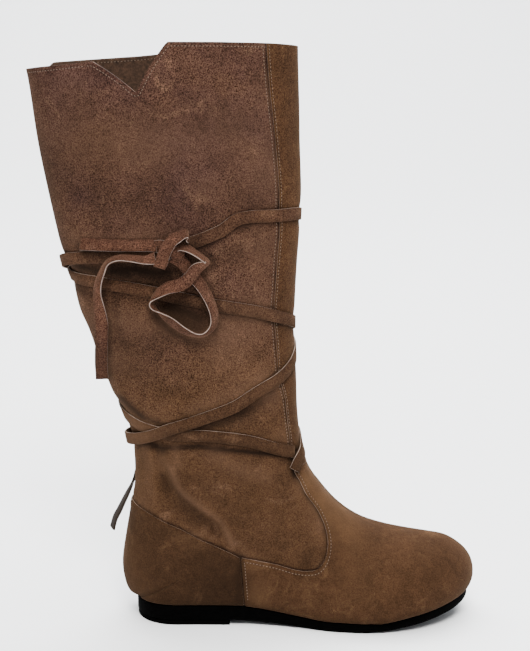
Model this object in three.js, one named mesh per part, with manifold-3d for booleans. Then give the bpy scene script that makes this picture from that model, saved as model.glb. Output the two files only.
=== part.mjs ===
import * as THREE from 'three';
import { mergeVertices } from 'three/addons/utils/BufferGeometryUtils.js';
import Module from 'manifold-3d';

// A right-foot tall folk boot of soft suede, standing empty on its flat rubber sole.
// Millimetres, +Z up, the toe along +X, the outer (lateral) side along -Y.
// While building, x starts at the back of the heel; the group is centred at the end.

const manifoldLibrary = await Module();
manifoldLibrary.setup();
const { Manifold, Mesh: ManifoldMesh } = manifoldLibrary;

// Driving sizes
const footLength = 280;
const ballWidth = 98;
const heelWidth = 64;
const instepHeight = 122;
const bootHeight = 455;
const shaftDepth = 201;
const shaftThickness = 80;
const wall = 2;

const soleHeelBack = 10;
const toeOverhang = 3;
const soleToe = footLength - toeOverhang;
const soleAtBall = 7.5;
const soleAtHeel = 12;
const heelLiftHeight = 4;
const heelBreast = 86;
const toeSpring = 14;
const featherInset = 3;
const toeTipSide = 8;

const gap = 0.3;
const featherGap = 0.6;
const vampThickness = 1.4;
const counterThickness = 0.8;
const facingThickness = 1.2;
// The strip is straight between its own points and the upper between fewer, so it stands off more
const facingOffset = 0.7;
const insoleThickness = 3;
const seamWidth = 1;

const laceWidth = 9.5;
const laceThickness = 1.8;
const laceLift = 0.7;

const columnsPerSide = 16;
const meshTolerance = 0.02;

// The shaft: front place as a share of the foot's length, heights as shares of the shaft's rise
const shaftRise = bootHeight - instepHeight;
const shaftSections = [
  { front: 0.486, rise: 1.07, depth: 1.04, backRise: 1.01, half: 0.5, round: 1.95 },
  { front: 0.486, rise: 0.955, depth: 1.005, backRise: 0.91, half: 0.506, round: 1.95 },
  { front: 0.493, rise: 0.79, depth: 0.978, backRise: 0.751, half: 0.519, round: 2 },
  { front: 0.496, rise: 0.64, depth: 0.943, backRise: 0.619, half: 0.519, round: 2 },
  { front: 0.486, rise: 0.49, depth: 0.878, backRise: 0.484, half: 0.5, round: 2.05 },
  { front: 0.48, rise: 0.354, depth: 0.796, backRise: 0.354, half: 0.475, round: 2.1 },
  { front: 0.484, rise: 0.234, depth: 0.737, backRise: 0.234, half: 0.444, round: 2.15 },
  { front: 0.488, rise: 0.144, depth: 0.674, backRise: 0.144, half: 0.425, round: 2.2 },
];

// The ankle and heel: x as shares of the foot's length, z of the instep height, half of half the heel
const heelSections = [
  { x: 0.498, z: 1.213, backX: 0.029, backZ: 1.165, half: 1.015, round: 2.35 },
  { x: 0.507, z: 1.11, backX: 0.034, backZ: 0.943, half: 1.03, round: 2.5 },
  { x: 0.5135, z: 1.045, backX: 0.025, backZ: 0.738, half: 1.06, round: 2.65 },
  { x: 0.5195, z: 1.0, backX: 0.0105, backZ: 0.541, half: 1.09, round: 2.75 },
  { x: 0.5265, z: 0.966, backX: 0, backZ: 0.377, half: 1.105, round: 2.8 },
  { x: 0.5335, z: 0.938, backX: 0.003, backZ: 0.262, half: 1.105, round: 2.85 },
  { x: 0.541, z: 0.912, backX: 0.016, backZ: 0.172, half: 1.105, round: 2.9 },
];

// The foot: place is where the section meets the sole's outline, 0 heel back, 1 end of the heel's
// round, 2 ball. outer and inner are half widths as shares of half the ball, side is the ridge's.
// widest is where along the section it is widest, round and low how square its two quarters are.
const footSections = [
  { x: 0.549, z: 0.886, place: 0, side: 0.04, outer: 0.74, inner: 0.72, widest: 0.56, round: 2.95, low: 2.7 },
  { x: 0.558, z: 0.858, place: 0.33, side: 0.05, outer: 0.75, inner: 0.7, widest: 0.58, round: 3, low: 2.6 },
  { x: 0.571, z: 0.82, place: 0.66, side: 0.05, outer: 0.76, inner: 0.67, widest: 0.6, round: 3, low: 2.5 },
  { x: 0.588, z: 0.775, place: 1, side: 0.06, outer: 0.78, inner: 0.63, widest: 0.6, round: 2.9, low: 2.4 },
  { x: 0.612, z: 0.722, place: 1.2, side: 0.07, outer: 0.8, inner: 0.6, widest: 0.62, round: 2.7, low: 2.3 },
  { x: 0.645, z: 0.665, place: 1.4, side: 0.08, outer: 0.86, inner: 0.6, widest: 0.64, round: 2.5, low: 2.2 },
  { x: 0.69, z: 0.61, place: 1.6, side: 0.09, outer: 0.96, inner: 0.66, widest: 0.66, round: 2.3, low: 2.1 },
  { x: 0.75, z: 0.565, place: 1.75, side: 0.1, outer: 1.08, inner: 0.76, widest: 0.68, round: 2.15, low: 2 },
  { x: 0.814, z: 0.534, place: 1.85, side: 0.11, outer: 1.15, inner: 0.83, widest: 0.7, round: 2.05, low: 2 },
  { x: 0.875, z: 0.509, place: 1.91, side: 0.12, outer: 1.18, inner: 0.85, widest: 0.73, round: 2, low: 2 },
  { x: 0.928, z: 0.48, place: 1.945, side: 0.14, outer: 1.2, inner: 0.84, widest: 0.77, round: 2, low: 2 },
  { x: 0.968, z: 0.42, place: 1.965, side: 0.15, outer: 1.21, inner: 0.82, widest: 0.82, round: 2, low: 2 },
  { x: 0.993, z: 0.355, place: 1.98, side: 0.16, outer: 1.21, inner: 0.81, widest: 0.88, round: 2, low: 2 },
  { x: 1.0, z: 0.29, place: 1.99, side: 0.16, outer: 1.2, inner: 0.8, widest: 0.93, round: 2, low: 2 },
  { x: 0.993, z: 0.228, place: 1.995, side: 0.16, outer: 1.16, inner: 0.76, widest: 0.97, round: 2, low: 2 },
];

// The sole's outline between the heel's round and the ball: half widths as shares of the plain taper
const waistSections = [
  { outer: 1, inner: 0.96 },
  { outer: 1, inner: 0.9 },
  { outer: 0.96, inner: 0.74 },
  { outer: 0.915, inner: 0.7 },
  { outer: 0.97, inner: 0.82 },
  { outer: 1, inner: 0.92 },
];

// The collar: level counted in sections from the top, at shares of each side from front to back
const collarLine = {
  outer: [
    { share: 0, level: 0.76 },
    { share: 0.14, level: 0.64 },
    { share: 0.3, level: 0.53 },
    { share: 0.463, level: 0.43 },
    { share: 0.575, level: 1.24 },
    { share: 0.7, level: 0.82 },
    { share: 1, level: 0.78 },
  ],
  inner: [
    { share: 0, level: 0.76 },
    { share: 0.14, level: 0.7 },
    { share: 0.3, level: 0.66 },
    { share: 0.585, level: 0.64 },
    { share: 0.8125, level: 0.69 },
    { share: 0.875, level: 0.77 },
    { share: 1, level: 0.78 },
  ],
};
const notchColumns = [0, 2, 5, 7, 9, 11, 16];
const notchFadeLevel = 3;

// The vamp's outline from the side: x as shares of the foot's length, z of the instep height
const vampOutline = [
  { x: 0.503, z: 1.06 },
  { x: 0.484, z: 1.018 },
  { x: 0.501, z: 0.941 },
  { x: 0.521, z: 0.85 },
  { x: 0.549, z: 0.762 },
  { x: 0.571, z: 0.657 },
  { x: 0.579, z: 0.557 },
  { x: 0.571, z: 0.467 },
  { x: 0.552, z: 0.411 },
  { x: 0.528, z: 0.394 },
  { x: 0.489, z: 0.398 },
  { x: 0.436, z: 0.429 },
  { x: 0.384, z: 0.453 },
  { x: 0.336, z: 0.475 },
];
const vampBackFoot = 0.35;

// The heel counter's upper seam, from the heel's back to the vamp
const counterOutline = [
  { x: -0.03, z: 0.845 },
  { x: 0.03, z: 0.797 },
  { x: 0.081, z: 0.75 },
  { x: 0.129, z: 0.701 },
  { x: 0.176, z: 0.659 },
  { x: 0.222, z: 0.6 },
  { x: 0.268, z: 0.552 },
  { x: 0.312, z: 0.504 },
  { x: 0.336, z: 0.475 },
];

// The front strip: width at levels of the shaft, as shares of one side's half girth
const facingStrip = [
  { level: 0, width: 0.15 },
  { level: 1.4, width: 0.144 },
  { level: 2.9, width: 0.125 },
  { level: 3.3, width: 0.121 },
  { level: 4.6, width: 0.142 },
  { level: 5.8, width: 0.14 },
  { level: 6.6, width: 0.115 },
  { level: 8.6, width: 0.12 },
];
const facingEndLevel = 8.6;

// Small helpers
const clamp = (value, low, high) => Math.min(high, Math.max(low, value));
const smooth = (value) => {
  const t = clamp(value, 0, 1);
  return t * t * (3 - 2 * t);
};
const lerp = THREE.MathUtils.lerp;

function catmull(a, b, c, d, t) {
  const square = t * t;
  const cube = square * t;
  const bend = (2 * a - 5 * b + 4 * c - d) * square;
  return 0.5 * (2 * b + (c - a) * t + bend + (3 * b - a - 3 * c + d) * cube);
}

// A smooth curve through equally spaced values; flat makes it level at both ends
function through(values, at, flat = false) {
  const last = values.length - 1;
  const i = Math.min(Math.floor(clamp(at, 0, last)), last - 1);
  const t = clamp(at, 0, last) - i;
  const before = flat ? values[1] : 2 * values[0] - values[1];
  const after = flat ? values[last - 1] : 2 * values[last] - values[last - 1];
  const a = i === 0 ? before : values[i - 1];
  const d = i + 2 > last ? after : values[i + 2];
  return catmull(a, values[i], values[i + 1], d, t);
}

// A straight-line reading of a table whose rows hold a place and a value
function reading(rows, placeName, valueName, place) {
  const next = rows.findIndex((row) => row[placeName] >= place);
  if (next === 0) return rows[0][valueName];
  if (next < 0) return rows[rows.length - 1][valueName];
  const low = rows[next - 1];
  const high = rows[next];
  const t = (place - low[placeName]) / (high[placeName] - low[placeName]);
  return lerp(low[valueName], high[valueName], t);
}

// The sole's heights along the foot
const heelTop = soleAtHeel + heelLiftHeight;
const toeRiseStart = 0.68 * footLength;
const shankStart = 0.31 * footLength;
const shankEnd = 0.59 * footLength;

function toeRise(x) {
  return toeSpring * clamp((x - toeRiseStart) / (soleToe - toeRiseStart), 0, 1) ** 1.3;
}

function soleTop(x) {
  return lerp(heelTop, soleAtBall, smooth((x - shankStart) / (shankEnd - shankStart))) + toeRise(x);
}

function soleBottom(x) {
  return heelLiftHeight * (1 - smooth((x - heelBreast) / (shankEnd - heelBreast))) + toeRise(x);
}

// The sole's outline: place 0 heel back, 1 end of the heel's round, 2 ball, 3 toe tip
const heelRoundX = soleHeelBack + heelWidth / 2;
const ballX = 0.715 * footLength;

function outlinePoint(place, side, inset) {
  const key = side < 0 ? 'outer' : 'inner';
  const widths = waistSections.map((row, i) => {
    const along = i / (waistSections.length - 1);
    return row[key] * lerp(heelWidth / 2, ballWidth / 2, smooth((along - 0.25) / 0.65));
  });
  if (place <= 1) {
    const angle = (place * Math.PI) / 2;
    return {
      x: heelRoundX - (heelRoundX - soleHeelBack - inset) * Math.cos(angle),
      y: side * (widths[0] - inset) * Math.sin(angle),
    };
  }
  if (place <= 2) {
    const along = place - 1;
    return {
      x: lerp(heelRoundX, ballX, along),
      y: side * (through(widths, along * (widths.length - 1), true) - inset),
    };
  }
  const angle = ((place - 2) * Math.PI) / 2;
  const tip = side * toeTipSide;
  return {
    x: ballX + (soleToe - inset - ballX) * Math.sin(angle),
    y: side * (tip + (widths[widths.length - 1] - inset - tip) * Math.cos(angle)),
  };
}

// Every section of the upper, from above the collar to the toe, in one list
function upperSections() {
  const rows = [];
  for (const row of shaftSections) {
    const half = row.half * shaftThickness;
    const front = row.front * footLength;
    rows.push({
      frontX: front, frontY: 0, frontZ: instepHeight + row.rise * shaftRise,
      endX: front - row.depth * shaftDepth, endZ: instepHeight + row.backRise * shaftRise,
      outer: half, inner: half, widest: 0.5, round: row.round, low: row.round, place: 0,
    });
  }
  for (const row of heelSections) {
    const half = (row.half * heelWidth) / 2;
    rows.push({
      frontX: row.x * footLength, frontY: 1, frontZ: row.z * instepHeight,
      endX: row.backX * footLength, endZ: row.backZ * instepHeight,
      outer: half, inner: half, widest: 0.52, round: row.round, low: row.round - 0.25, place: 0,
    });
  }
  const featherBack = outlinePoint(0, 1, featherInset).x;
  for (const row of footSections) {
    rows.push({
      frontX: row.x * footLength, frontY: (row.side * ballWidth) / 2, frontZ: row.z * instepHeight,
      endX: featherBack, endZ: soleTop(featherBack) + featherGap,
      outer: (row.outer * ballWidth) / 2, inner: (row.inner * ballWidth) / 2,
      widest: row.widest, round: row.round, low: row.low, place: row.place,
    });
  }
  // The last section is the sole's own outline round the toe
  const tip = outlinePoint(3, 1, featherInset);
  rows.push({
    frontX: tip.x, frontY: tip.y, frontZ: soleTop(tip.x) + featherGap,
    endX: featherBack, endZ: soleTop(featherBack) + featherGap,
    outer: tip.y - outlinePoint(2, -1, featherInset).y,
    inner: outlinePoint(2, 1, featherInset).y - tip.y,
    widest: 1, round: 2, low: 2, place: 2,
  });
  return rows;
}

const sections = upperSections();
const heelLevel = shaftSections.length + heelSections.length;
const toeLevel = sections.length - 1;
const sinkRows = 4;
const sectionColumns = {};
for (const key of Object.keys(sections[0])) sectionColumns[key] = sections.map((row) => row[key]);

function sectionAt(level) {
  const row = {};
  for (const key of Object.keys(sectionColumns)) row[key] = through(sectionColumns[key], level);
  row.place = level <= heelLevel ? 0 : clamp(row.place, 0, 2);
  row.widest = Math.min(1, row.widest);
  return row;
}

// One side of a section as a fine line from the ridge at the front to the end at back or sole
const fineSteps = 60;
const lineCache = new Map();

function sectionLine(level, side) {
  const key = `${level.toFixed(5)} ${side}`;
  if (lineCache.has(key)) return lineCache.get(key);
  const row = sectionAt(level);
  const open = level > heelLevel;
  const foot = outlinePoint(row.place, side, featherInset);
  const end = open ? new THREE.Vector3(foot.x, foot.y, soleTop(foot.x) + featherGap)
    : new THREE.Vector3(row.endX, 0, row.endZ);
  const reach = side * (end.y - row.frontY);
  const width = side < 0 ? row.outer : row.inner;
  const points = [];
  const place = (along, out) => {
    const z = lerp(row.frontZ, end.z, along);
    points.push(new THREE.Vector3(lerp(row.frontX, end.x, along), row.frontY + side * out, z));
  };
  for (let i = 0; i <= fineSteps; i += 1) {
    const angle = (i / fineSteps) * (Math.PI / 2);
    place(row.widest * (1 - Math.cos(angle) ** (2 / row.round)), width * Math.sin(angle) ** (2 / row.round));
  }
  for (let i = 1; i <= fineSteps; i += 1) {
    const angle = (i / fineSteps) * (Math.PI / 2);
    const out = reach + (width - reach) * Math.abs(Math.cos(angle)) ** (2 / row.low);
    place(row.widest + (1 - row.widest) * Math.sin(angle) ** (2 / row.low), out);
  }
  // Near the toe's sole line the section sinks onto the sole's own curve
  const sink = clamp(1 - (toeLevel - level) / sinkRows, 0, 1) ** 2;
  for (const point of points) {
    const edge = soleTop(point.x) + featherGap;
    point.z = lerp(point.z, Math.min(point.z, edge), sink);
  }
  const lengths = [0];
  for (let i = 1; i < points.length; i += 1) {
    lengths.push(lengths[i - 1] + points[i].distanceTo(points[i - 1]));
  }
  const line = { points, lengths };
  lineCache.set(key, line);
  return line;
}

// A point of the upper's outer face: around 0 front, -1 outer end, 1 inner end; level as above
function surfacePoint(around, level) {
  const { points, lengths } = sectionLine(level, around < 0 ? -1 : 1);
  const target = Math.abs(around) * lengths[lengths.length - 1];
  let i = 1;
  while (i < lengths.length - 1 && lengths[i] < target) i += 1;
  const t = (target - lengths[i - 1]) / (lengths[i] - lengths[i - 1]);
  return points[i - 1].clone().lerp(points[i], clamp(t, 0, 1));
}

// The shaft goes on round the back: 1.2 is the same place as -0.8
function roundTheShaft(around) {
  return ((((around + 1) % 2) + 2) % 2) - 1;
}

function shaftNormal(around, level) {
  const step = 0.02;
  const ahead = surfacePoint(roundTheShaft(around + step), level);
  const behind = surfacePoint(roundTheShaft(around - step), level);
  const lower = surfacePoint(roundTheShaft(around), level + 0.15);
  const upper = surfacePoint(roundTheShaft(around), level - 0.15);
  return lower.sub(upper).cross(ahead.sub(behind)).normalize();
}

// Closed meshes from lists of points and triangles
function meshGeometry(points, triangles) {
  const geometry = new THREE.BufferGeometry();
  const flat = points.flatMap((point) => [point.x, point.y, point.z]);
  geometry.setAttribute('position', new THREE.Float32BufferAttribute(flat, 3));
  geometry.setIndex(triangles.flat());
  geometry.computeVertexNormals();
  return geometry;
}

function toManifold(geometry) {
  const index = geometry.getIndex();
  const mesh = new ManifoldMesh({
    numProp: 3,
    vertProperties: new Float32Array(geometry.getAttribute('position').array),
    triVerts: new Uint32Array(index.array),
  });
  mesh.merge();
  return new Manifold(mesh);
}

function fromManifold(solid) {
  const mesh = solid.simplify(meshTolerance).getMesh();
  const geometry = new THREE.BufferGeometry();
  geometry.setAttribute('position', new THREE.Float32BufferAttribute(mesh.vertProperties, 3));
  geometry.setIndex(new THREE.Uint32BufferAttribute(mesh.triVerts, 1));
  geometry.computeVertexNormals();
  return geometry;
}

// The upper's grid of points. Levels above the notch's foot follow the collar.
const collarRows = [0, 0.35, 0.7, 1];
const belowNotch = 1.6;

function columnShare(column, side, level) {
  const plain = column / columnsPerSide;
  if (side > 0) return plain;
  const next = Math.max(1, notchColumns.findIndex((value) => value >= column));
  const t = (column - notchColumns[next - 1]) / (notchColumns[next] - notchColumns[next - 1]);
  const warped = lerp(collarLine.outer[next - 1].share, collarLine.outer[next].share, t);
  return lerp(warped, plain, clamp((level - belowNotch) / (notchFadeLevel - belowNotch), 0, 1));
}

function upperLevels() {
  const levels = collarRows.map((part) => ({ part, level: belowNotch }));
  for (let level = Math.ceil(belowNotch); level < toeLevel; level += 1) levels.push({ part: 1, level });
  levels.push({ part: 1, level: toeLevel });
  return levels;
}

function gridSpot(column, rowSpot) {
  const side = column < 0 ? -1 : 1;
  const share = columnShare(Math.abs(column), side, rowSpot.level);
  const line = side < 0 ? collarLine.outer : collarLine.inner;
  const collar = reading(line, 'share', 'level', share);
  const level = rowSpot.level <= belowNotch ? lerp(collar, belowNotch, rowSpot.part) : rowSpot.level;
  return { around: side * share, level };
}

// The skin is the outer face as an open grid whose back seam is closed above the heel
function upperSkin(rowSpots) {
  const points = [];
  const numbers = [];
  for (const rowSpot of rowSpots) {
    const closed = rowSpot.level <= heelLevel;
    const row = [];
    for (let column = -columnsPerSide; column <= columnsPerSide; column += 1) {
      if (closed && column === columnsPerSide) {
        row.push(row[0]);
        continue;
      }
      const spot = gridSpot(column, rowSpot);
      row.push(points.length);
      points.push(surfacePoint(spot.around, spot.level));
    }
    numbers.push(row);
  }
  const triangles = [];
  for (let i = 0; i + 1 < numbers.length; i += 1) {
    for (let j = 0; j < 2 * columnsPerSide; j += 1) {
      const [a, b] = [numbers[i][j], numbers[i][j + 1]];
      const [c, d] = [numbers[i + 1][j], numbers[i + 1][j + 1]];
      if (j < columnsPerSide) triangles.push([a, c, b], [b, c, d]);
      else triangles.push([a, c, d], [a, d, b]);
    }
  }
  const skin = meshGeometry(points, triangles);
  return { points, triangles, numbers, normals: skin.getAttribute('normal') };
}

// A shell between two offsets from the skin, closed round its open edge
function shellBetween(skin, outward, inward) {
  const count = skin.points.length;
  const shifted = (distance) => skin.points.map((point, i) => {
    const normal = new THREE.Vector3().fromBufferAttribute(skin.normals, i);
    return point.clone().addScaledVector(normal, distance);
  });
  const points = [...shifted(outward), ...shifted(inward)];
  const triangles = [];
  const edges = new Map();
  for (const [a, b, c] of skin.triangles) {
    if (a === b || b === c || a === c) continue;
    triangles.push([a, b, c], [a + count, c + count, b + count]);
    for (const [from, to] of [[a, b], [b, c], [c, a]]) edges.set(`${from} ${to}`, [from, to]);
  }
  for (const [from, to] of edges.values()) {
    if (edges.has(`${to} ${from}`)) continue;
    triangles.push([to, from, from + count], [to, from + count, to + count]);
  }
  return meshGeometry(points, triangles);
}

// A cutter as wide as the boot from an outline seen from the side
function sideCutter(outline, fromY, toY) {
  const shape = new THREE.Shape(outline.map((point) => new THREE.Vector2(point.x, point.z)));
  const geometry = new THREE.ExtrudeGeometry(shape, { depth: toY - fromY, bevelEnabled: false });
  geometry.rotateX(Math.PI / 2);
  geometry.translate(0, toY, 0);
  const merged = new THREE.BufferGeometry();
  merged.setAttribute('position', geometry.getAttribute('position'));
  const count = geometry.getAttribute('position').count;
  merged.setIndex([...Array(count).keys()]);
  return toManifold(merged);
}

// A smooth line through rows of x and z shares, in millimetres
function smoothOutline(rows, steps = 2) {
  const points = [];
  for (let i = 0; i < rows.length - 1; i += 1) {
    for (let k = 0; k < steps; k += 1) {
      const at = i + k / steps;
      points.push({
        x: through(rows.map((row) => row.x), at) * footLength,
        z: through(rows.map((row) => row.z), at) * instepHeight,
      });
    }
  }
  const last = rows[rows.length - 1];
  points.push({ x: last.x * footLength, z: last.z * instepHeight });
  return points;
}

// The line just above the sole's top, from one x to another
function aboveSole(fromX, toX, clearance, steps = 12) {
  const points = [];
  for (let i = 0; i <= steps; i += 1) {
    const x = lerp(fromX, toX, i / steps);
    points.push({ x, z: soleTop(x) + clearance });
  }
  return points;
}

const soleClearance = featherGap + gap;
const vampBackX = vampBackFoot * footLength;

function buildVamp(skin) {
  const shell = toManifold(shellBetween(skin, gap + vampThickness, gap));
  const outline = [
    ...smoothOutline(vampOutline),
    ...aboveSole(vampBackX, footLength + 10, soleClearance),
    { x: footLength + 10, z: vampOutline[0].z * instepHeight },
  ];
  return fromManifold(shell.intersect(sideCutter(outline, -ballWidth, ballWidth)));
}

function buildHeelCounter(skin) {
  const shell = toManifold(shellBetween(skin, gap + counterThickness, gap));
  const seam = smoothOutline(counterOutline);
  const outline = [
    ...seam.map((point) => ({ x: point.x - seamWidth, z: point.z - seamWidth / 2 })),
    ...aboveSole(vampBackX - seamWidth, -20, soleClearance),
  ];
  return fromManifold(shell.intersect(sideCutter(outline, -ballWidth, ballWidth)));
}

// The front strip lies on the outer side, from the collar to the vamp; extra makes room round it
function facingShell(extra) {
  const across = 5;
  const widen = extra * 0.008;
  const overlap = 0.012 + widen;
  const topWidth = facingStrip[0].width + widen;
  const points = [];
  const numbers = [];
  const steps = 26;
  for (let i = 0; i <= steps; i += 1) {
    const row = [];
    for (let j = 0; j <= across; j += 1) {
      const collarShare = Math.abs(lerp(-topWidth, overlap, j / across));
      const collar = reading(collarLine.outer, 'share', 'level', collarShare);
      const level = lerp(collar, facingEndLevel + 3 * widen, i / steps);
      const width = reading(facingStrip, 'level', 'width', level) + widen;
      const around = lerp(-width, overlap, j / across);
      row.push(points.length);
      points.push({ around, level });
    }
    numbers.push(row);
  }
  const places = points.map(({ around, level }) => surfacePoint(around, level));
  const normals = points.map(({ around, level }) => shaftNormal(around, level));
  const triangles = [];
  for (let i = 0; i < steps; i += 1) {
    for (let j = 0; j < across; j += 1) {
      const [a, b, c, d] = [numbers[i][j], numbers[i][j + 1], numbers[i + 1][j], numbers[i + 1][j + 1]];
      triangles.push([a, c, b], [b, c, d]);
    }
  }
  const flat = normals.flatMap((normal) => [normal.x, normal.y, normal.z]);
  const skin = { points: places, triangles, normals: new THREE.Float32BufferAttribute(flat, 3) };
  return shellBetween(skin, facingOffset + facingThickness + extra, facingOffset);
}

// A plate under or over the foot, made in strips across so that it follows top and bottom curves
function footPlate(inset, top, bottom, lastX = Infinity, stepsPerPart = 12) {
  const points = [];
  const triangles = [];
  const rows = [];
  for (let i = 0; i <= 3 * stepsPerPart; i += 1) {
    const place = i / stepsPerPart;
    const outer = outlinePoint(place, -1, inset);
    const inner = outlinePoint(place, 1, inset);
    if (outer.x > lastX) break;
    rows.push({ outer, inner });
  }
  if (Number.isFinite(lastX)) {
    const along = 1 + (lastX - heelRoundX) / (ballX - heelRoundX);
    rows.push({ outer: outlinePoint(along, -1, inset), inner: outlinePoint(along, 1, inset) });
  }
  const numbers = rows.map(({ outer, inner }) => {
    const start = points.length;
    const pointed = Math.abs(outer.y - inner.y) < 1e-6;
    for (const height of [top, bottom]) {
      points.push(new THREE.Vector3(outer.x, outer.y, height(outer.x)));
      points.push(new THREE.Vector3(inner.x, inner.y, height(inner.x)));
    }
    if (pointed) return [start, start, start + 2, start + 2];
    return [start, start + 1, start + 2, start + 3];
  });
  const quad = (a, b, c, d) => triangles.push([a, b, c], [a, c, d]);
  for (let i = 0; i + 1 < numbers.length; i += 1) {
    const [a, b, c, d] = numbers[i];
    const [e, f, g, h] = numbers[i + 1];
    quad(a, e, f, b);
    quad(c, d, h, g);
    quad(a, c, g, e);
    quad(b, f, h, d);
  }
  const lastRow = numbers[numbers.length - 1];
  quad(lastRow[0], lastRow[2], lastRow[3], lastRow[1]);
  const firstRow = numbers[0];
  quad(firstRow[0], firstRow[1], firstRow[3], firstRow[2]);
  const used = triangles.filter(([a, b, c]) => a !== b && b !== c && a !== c);
  return meshGeometry(points, used);
}

// Laces: a flat thong wound round the shaft, through places on it: around, level and lift off it
const wrapOne = [
  { around: -0.113, level: 8.67 },
  { around: -0.256, level: 8.03 },
  { around: -0.363, level: 7.73 },
  { around: -0.531, level: 7.55 },
  { around: -0.7, level: 7.5 },
  { around: -0.838, level: 7.28 },
  { around: -0.969, level: 6.91 },
  { around: -1.25, level: 6.3 },
  { around: -1.5, level: 5.85 },
  { around: -1.75, level: 5.4 },
  { around: -2, level: 5.02 },
  { around: -2.206, level: 4.72 },
  { around: -2.381, level: 4.55 },
  { around: -2.606, level: 4.33 },
  { around: -2.806, level: 4.21 },
  { around: -2.969, level: 4.16 },
  { around: -3.25, level: 3.95 },
  { around: -3.5, level: 3.72 },
  { around: -3.75, level: 3.45 },
  { around: -4, level: 3.22 },
  { around: -4.131, level: 3.18 },
  { around: -4.269, level: 3.18 },
  { around: -4.338, level: 3.35 },
  { around: -4.431, level: 3.5 },
  { around: -4.52, level: 3.6 },
];
const wrapTwo = [
  { around: -0.138, level: 10.04 },
  { around: -0.106, level: 9.31 },
  { around: -0.02, level: 8.5 },
  { around: 0.1, level: 7.8 },
  { around: 0.3, level: 7.5 },
  { around: 0.5, level: 7.6 },
  { around: 0.75, level: 7.75 },
  { around: 1.025, level: 7.81 },
  { around: 1.194, level: 7.6 },
  { around: 1.306, level: 7.34 },
  { around: 1.444, level: 7.08 },
  { around: 1.625, level: 6.7 },
  { around: 1.737, level: 6.35 },
  { around: 1.862, level: 6.01 },
  { around: 1.931, level: 5.79 },
  { around: 2, level: 5.55 },
  { around: 2.15, level: 5.25 },
  { around: 2.5, level: 4.75 },
  { around: 2.75, level: 4.3 },
  { around: 3.0, level: 3.9 },
  { around: 3.137, level: 3.78 },
  { around: 3.262, level: 3.73 },
  { around: 3.375, level: 3.71 },
  { around: 3.44, level: 3.68 },
];

// The thong clears the front strip and the vamp where it crosses them
function laceHeight(around, level) {
  const wrapped = roundTheShaft(around);
  const onStrip = 1 - smooth((Math.abs(wrapped + 0.05) - 0.1) / 0.08);
  const onVamp = smooth((level - 8.2) / 0.7);
  return laceLift + Math.max(onStrip * (facingOffset + facingThickness), onVamp * (gap + vampThickness));
}

function ribbon(frames) {
  const points = [];
  const triangles = [];
  for (const { centre, across, out } of frames) {
    for (const [w, h] of [[-0.5, 0], [0.5, 0], [0.5, 1], [-0.5, 1]]) {
      const corner = centre.clone().addScaledVector(across, w * laceWidth);
      points.push(corner.addScaledVector(out, h * laceThickness));
    }
  }
  for (let i = 0; i + 1 < frames.length; i += 1) {
    for (let k = 0; k < 4; k += 1) {
      const a = 4 * i + k;
      const b = 4 * i + ((k + 1) % 4);
      triangles.push([a, b, a + 4], [b, b + 4, a + 4]);
    }
  }
  const end = 4 * (frames.length - 1);
  triangles.push([0, 2, 1], [0, 3, 2], [end, end + 1, end + 2], [end, end + 2, end + 3]);
  return meshGeometry(points, triangles);
}

function wrapFrames(rows, stepLength = 11, stepTurn = 0.22) {
  const spots = [];
  for (let i = 0; i < rows.length - 1; i += 1) {
    const from = surfacePoint(roundTheShaft(rows[i].around), rows[i].level);
    const to = surfacePoint(roundTheShaft(rows[i + 1].around), rows[i + 1].level);
    const bend = shaftNormal(rows[i].around, rows[i].level)
      .angleTo(shaftNormal(rows[i + 1].around, rows[i + 1].level));
    const steps = Math.max(1, Math.round(from.distanceTo(to) / stepLength), Math.round(bend / stepTurn));
    for (let k = 0; k < steps; k += 1) {
      const at = i + k / steps;
      spots.push({
        around: through(rows.map((row) => row.around), at),
        level: through(rows.map((row) => row.level), at),
      });
    }
  }
  spots.push(rows[rows.length - 1]);
  const places = spots.map(({ around, level }) => {
    const out = shaftNormal(around, level);
    const centre = surfacePoint(roundTheShaft(around), level).addScaledVector(out, laceHeight(around, level));
    return { centre, out };
  });
  return places.map(({ centre, out }, i) => {
    const before = places[Math.max(0, i - 1)].centre;
    const after = places[Math.min(places.length - 1, i + 1)].centre;
    const along = after.clone().sub(before).normalize();
    return { centre, out, across: out.clone().cross(along).normalize() };
  });
}

function buildLaceWraps(skin) {
  const one = toManifold(ribbon(wrapFrames(wrapOne)));
  const two = toManifold(ribbon(wrapFrames(wrapTwo)));
  const upperRoom = toManifold(shellBetween(skin, gap, -wall));
  const rooms = [upperRoom, toManifold(facingShell(gap)), toManifold(knotSolid(2 * gap))];
  return fromManifold(rooms.reduce((solid, room) => solid.subtract(room), one.add(two)));
}

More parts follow.
